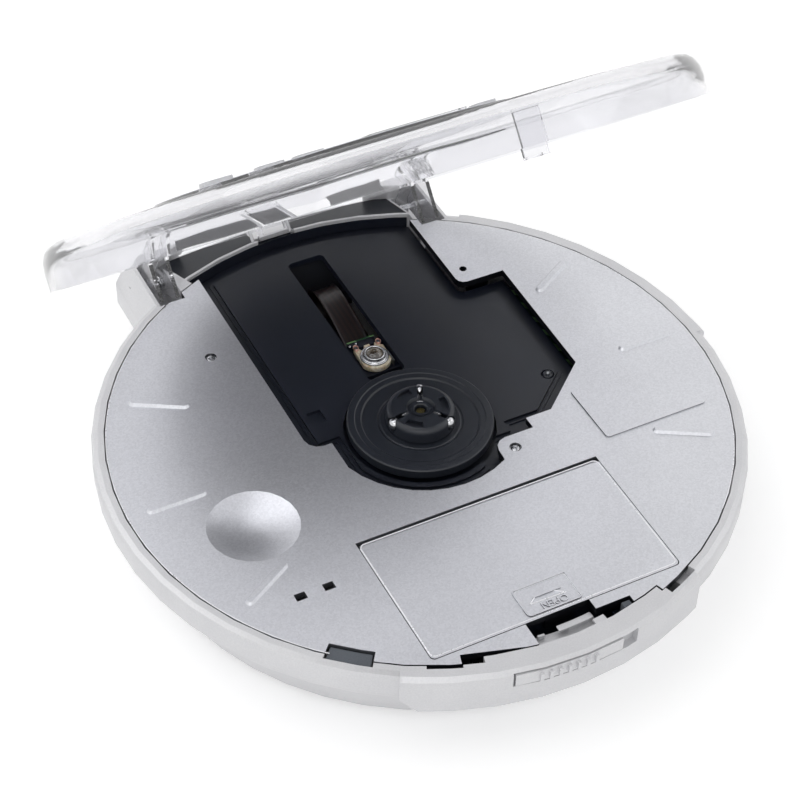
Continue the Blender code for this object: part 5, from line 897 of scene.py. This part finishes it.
class PLAYER_OT_lid(bpy.types.Operator):
    """Finish the clear lid, and give it its printed disc, its display and the signs on its keys"""

    bl_idname = "disc_player.lid"
    bl_label = "Lid"

    def execute(self, context):
        dress(FINISH_OF["clear"], clear_styrene())
        dress(FINISH_OF["key"], key_plastic())
        for name in FINISH_OF["clear"]:
            NODES[name].visible_shadow = False
        self.printed_disc("disc_print", silver_print(), 32.38, 32.46)
        self.printed_disc("disc_backing", pale_backing(), 32.31, 32.37)
        self.skirt()
        self.display()
        self.signs()
        return {"FINISHED"}

    def skirt(self):
        """Dark strips inside the back of the skirt as painted reflection of the deck, between two ribs that
        reach into the bay and are drawn milky as painted highlight.
        """
        bm = bmesh.new()
        for left, right, low, high in ((-28.0, -8.6, 22.7, 24.9), (-7.2, 0.4, 22.7, 25.9),
                                       (11.5, 25.0, 22.5, 25.1)):
            start, end = (math.degrees(math.acos(x / SKIRT_INSIDE)) for x in (right, left))
            slab(bm, arc(SKIRT_INSIDE, start, end, 24) + arc(SKIRT_INSIDE - 0.15, end, start, 24), low, high)
        put("skirt_reflection_strips", bm, "lid", skirt_reflection_paint(), place=opened())
        # The ribs are real; their milky colour is painted highlight on their clear edges.
        bm = bmesh.new()
        for x in (-8.1, 1.2):
            wire(bm, [(x, 66.8, 26.2), (x, 66.6, 22.5), (x, 66.1, 19.3)], 0.4, 10)
        put("skirt_ribs", bm, "lid", key_plastic(), place=opened())

    def printed_disc(self, name, finish, low, high):
        """Thin sheet on the raised roof, with a window for each key and for the display."""
        bm = bmesh.new()
        slab(bm, arc(PRINT_RADIUS, 0.0, 360.0, 120, ROOF_CENTRE)[:-1], low, high)
        sheet = put(name, bm, "lid", finish, place=opened())
        cutter = bmesh.new()
        margin = 1.1
        for (left, right), half, corner in (*((key, 3.9, 2.4) for key in KEYS), (PANE, 5.3, 1.8)):
            window = rounded(left - margin, right + margin, KEY_ROW - half, KEY_ROW + half, corner)
            slab(cutter, window, low - 1.0, high + 1.0)
        cutter.transform(Matrix.Scale(1.0 / MM, 4) @ opened() @ Matrix.Scale(MM, 4))
        carve(sheet, cutter)

    def display(self):
        """Liquid-crystal glass on the plate under the pane, with its dark segments."""
        left, right = PANE[0] + 0.8, PANE[1] - 0.8
        glass_top = 30.1
        bm = bmesh.new()
        slab(bm, rounded(left, right, KEY_ROW - 3.5, KEY_ROW + 3.5, 0.3, 2), 29.25, glass_top)
        put("display_glass", bm, "lid", display_glass(), width=0.08, place=opened())
        stroke = 0.32
        bars = [(0.0, up, 1.5, stroke) for up in (2.2, 0.0, -2.2)]
        bars += [(across, up, stroke, 1.7) for up in (1.1, -1.1) for across in (-1.0, 1.0)]
        bm = bmesh.new()
        for digit in range(4):
            pair_gap = 1.2 if digit > 1 else 0.0
            for across, up, wide, tall in bars:
                x, y = left + 3.2 + digit * 3.4 + pair_gap + across, KEY_ROW + up
                brick(bm, (x - wide / 2, y - tall / 2, glass_top),
                      (x + wide / 2, y + tall / 2, glass_top + 0.03))
        put("display_segments", bm, "lid", printed_ink(), place=opened())

    def signs(self):
        """Printed signs on the key tops: stop, back, forward, and play with pause."""
        triangle = ((-0.9, -1.0), (0.9, 0.0), (-0.9, 1.0))
        bar = ((-0.22, -1.0), (0.22, -1.0), (0.22, 1.0), (-0.22, 1.0))
        square = ((-0.9, -0.9), (0.9, -0.9), (0.9, 0.9), (-0.9, 0.9))
        marks = (((square, 0.0, 1),), ((triangle, -0.7, -1), (triangle, 0.9, -1), (bar, -1.9, 1)),
                 ((triangle, -0.9, 1), (triangle, 0.7, 1), (bar, 1.9, 1)),
                 ((triangle, -0.8, 1), (bar, 0.8, 1), (bar, 1.6, 1)))
        for number, ((left, right), shapes) in enumerate(zip(KEYS, marks), 1):
            bm = bmesh.new()
            for shape, shift, way in shapes:
                outline = [((left + right) / 2 + shift + way * x, KEY_ROW + y) for x, y in shape]
                slab(bm, outline, KEY_TOP - 0.02, KEY_TOP + 0.03)
            put(f"key_{number}_sign", bm, f"key_{number}", printed_ink(), place=opened())


def plane(name, size, matrix, finish):
    """Flat square of the stage."""
    mesh = bpy.data.meshes.new(name)
    half = size / 2
    corners = [(-half, -half, 0.0), (half, -half, 0.0), (half, half, 0.0), (-half, half, 0.0)]
    mesh.from_pydata(corners, [], [(0, 1, 2, 3)])
    obj = bpy.data.objects.new(name, mesh)
    bpy.context.scene.collection.objects.link(obj)
    obj.matrix_world = matrix
    mesh.materials.append(finish)
    return obj


def lamp(name, place, size, power):
    """Square soft lamp pointed at the origin."""
    data = bpy.data.lights.new(name, "AREA")
    data.energy = power
    data.size = size
    obj = bpy.data.objects.new(name, data)
    bpy.context.scene.collection.objects.link(obj)
    obj.location = place
    obj.rotation_mode = "QUATERNION"
    obj.rotation_quaternion = Vector(place).to_track_quat("Z", "Y")


def seen_directly(tree):
    """One where a ray comes from the camera, from a shiny face or through clear plastic."""
    path = node(tree, "LightPath").outputs
    share = path["Is Camera Ray"]
    for kind in ("Is Glossy Ray", "Is Transmission Ray"):
        share = node(tree, "Math", {0: share, 1: path[kind]}, operation="MAXIMUM").outputs[0]
    return share


def floor_paper():
    """White seamless paper: pale and even, with a faint tooth; its own glow is seen only directly."""

    def build(tree, place):
        tooth = node(tree, "TexNoise", {"Vector": place, "Scale": pitch(4.0)}).outputs[0]
        paper = node(tree, "Mix", {"Factor": tooth, "A": linear("#F2F2F2"), "B": linear("#F6F6F6")},
                     data_type="RGBA")
        glow = node(tree, "Math", {0: seen_directly(tree), 1: 0.3}, operation="MULTIPLY")
        return {"Base Color": paper.outputs["Result"], "Emission Strength": glow.outputs[0]}

    return material("white_studio_paper", build, {"Roughness": 0.9, "Emission Color": (1.0, 1.0, 1.0, 1.0)})


class PLAYER_OT_stage(bpy.types.Operator):
    """Set up the pale floor, the soft lamps and the camera"""

    bl_idname = "disc_player.stage"
    bl_label = "Stage"

    def execute(self, context):
        scene = context.scene
        floor_level = -1.0 * MM
        plane("floor", 8.0, Matrix.Translation((0.0, 0.0, floor_level)), floor_paper())
        scene.world = self.studio()
        power = scene.disc_player.key_light
        for name, place, size, share in (("overhead_softbox", (-0.35, 0.25, 0.9), 0.95, 1.0),
                                         ("front_softbox", (-0.3, -0.55, 0.6), 0.5, 0.25),
                                         ("right_softbox", (0.8, -0.2, 0.6), 0.5, 0.2)):
            lamp(name, place, size, power * share)
        self.flag("overhead_flag", (0.0, 0.0, 0.9), (0.0, 0.0, -1.0), 0.7)
        scene.camera = photo_camera()
        scene.view_settings.view_transform = "Standard"
        return {"FINISHED"}

    def studio(self):
        """World that the camera and shiny or clear faces see white; it lights softly from the sides."""
        world = bpy.data.worlds.new("studio")
        world.use_nodes = True
        tree = world.node_tree
        tree.nodes.clear()
        sky = node(tree, "SeparateXYZ", {"Vector": node(tree, "TexCoord").outputs["Generated"]}).outputs["Z"]
        level = node(tree, "MapRange", {"Value": sky, "From Min": 0.45, "From Max": 0.95,
                                        "To Min": 0.85, "To Max": 0.35}, interpolation_type="SMOOTHSTEP")
        strength = node(tree, "Mix", {"Factor": seen_directly(tree), "A": level.outputs[0], "B": 1.0})
        white = node(tree, "Background", {"Color": (1.0, 1.0, 1.0, 1.0), "Strength": strength.outputs[0]})
        node(tree, "OutputWorld", {"Surface": white.outputs[0]})
        return world

    def flag(self, name, place, facing, size):
        """Dark card that only shiny faces show."""
        turn = Vector(facing).to_track_quat("Z", "Y").to_matrix().to_4x4()
        card = plane(name, size, Matrix.Translation(place) @ turn, flag_cloth())
        card.visible_camera = card.visible_diffuse = card.visible_transmission = card.visible_shadow = False


def flag_cloth():
    """Black duvetyne of a studio flag: napped, with a loose weave every 2 mm."""
    return grained("black_duvetyne", "#1A1A1B", "#242425", 2.0, 0.2, {"Roughness": 0.9, "Sheen Weight": 0.2})


PHOTO_ANGLES = (-28.122, 44.162, 1.633)
PHOTO_TARGET = (-1.411, 6.780, 21.0)
PHOTO_DISTANCE = 440.77
PHOTO_LENS = 92.66
PHOTO_SENSOR = 36.0


def photo_camera():
    """Camera at the photograph's azimuth, elevation, roll and distance, looking at its target in mm."""
    azimuth, elevation, roll = (math.radians(angle) for angle in PHOTO_ANGLES)
    target = Vector(PHOTO_TARGET) * MM
    back = Vector((math.sin(azimuth) * math.cos(elevation), -math.cos(azimuth) * math.cos(elevation),
                   math.sin(elevation)))
    right = Vector((math.cos(azimuth), math.sin(azimuth), 0.0))
    up = back.cross(right)
    across = right * math.cos(roll) + up * math.sin(roll)
    upright = up * math.cos(roll) - right * math.sin(roll)
    data = bpy.data.cameras.new("camera")
    data.lens = PHOTO_LENS
    data.sensor_width = PHOTO_SENSOR
    obj = bpy.data.objects.new("camera", data)
    bpy.context.scene.collection.objects.link(obj)
    turn = Matrix((across, upright, back)).transposed().to_4x4()
    obj.matrix_world = Matrix.Translation(target + back * PHOTO_DISTANCE * MM) @ turn
    return obj


OPERATORS = (PLAYER_OT_stage, PLAYER_OT_case, PLAYER_OT_mechanism, PLAYER_OT_spindle, PLAYER_OT_pickup,
             PLAYER_OT_lid)


class PLAYER_PT_sidebar(bpy.types.Panel):
    """Steps and settings of the disc player"""

    bl_label = "Disc Player"
    bl_space_type = "VIEW_3D"
    bl_region_type = "UI"
    bl_category = "Disc Player"

    def draw(self, context):
        for name in PlayerSettings.__annotations__:
            self.layout.prop(context.scene.disc_player, name)
        for operator in OPERATORS:
            self.layout.operator(operator.bl_idname)


def register():
    for cls in (PlayerSettings, *OPERATORS, PLAYER_PT_sidebar):
        bpy.utils.register_class(cls)
    bpy.types.Scene.disc_player = bpy.props.PointerProperty(type=PlayerSettings)


def unregister():
    del bpy.types.Scene.disc_player
    for cls in (PLAYER_PT_sidebar, *reversed(OPERATORS), PlayerSettings):
        bpy.utils.unregister_class(cls)


def main():
    register()
    for operator in OPERATORS:
        getattr(bpy.ops.disc_player, operator.bl_idname.split(".")[1])()


if __name__ == "__main__":
    main()
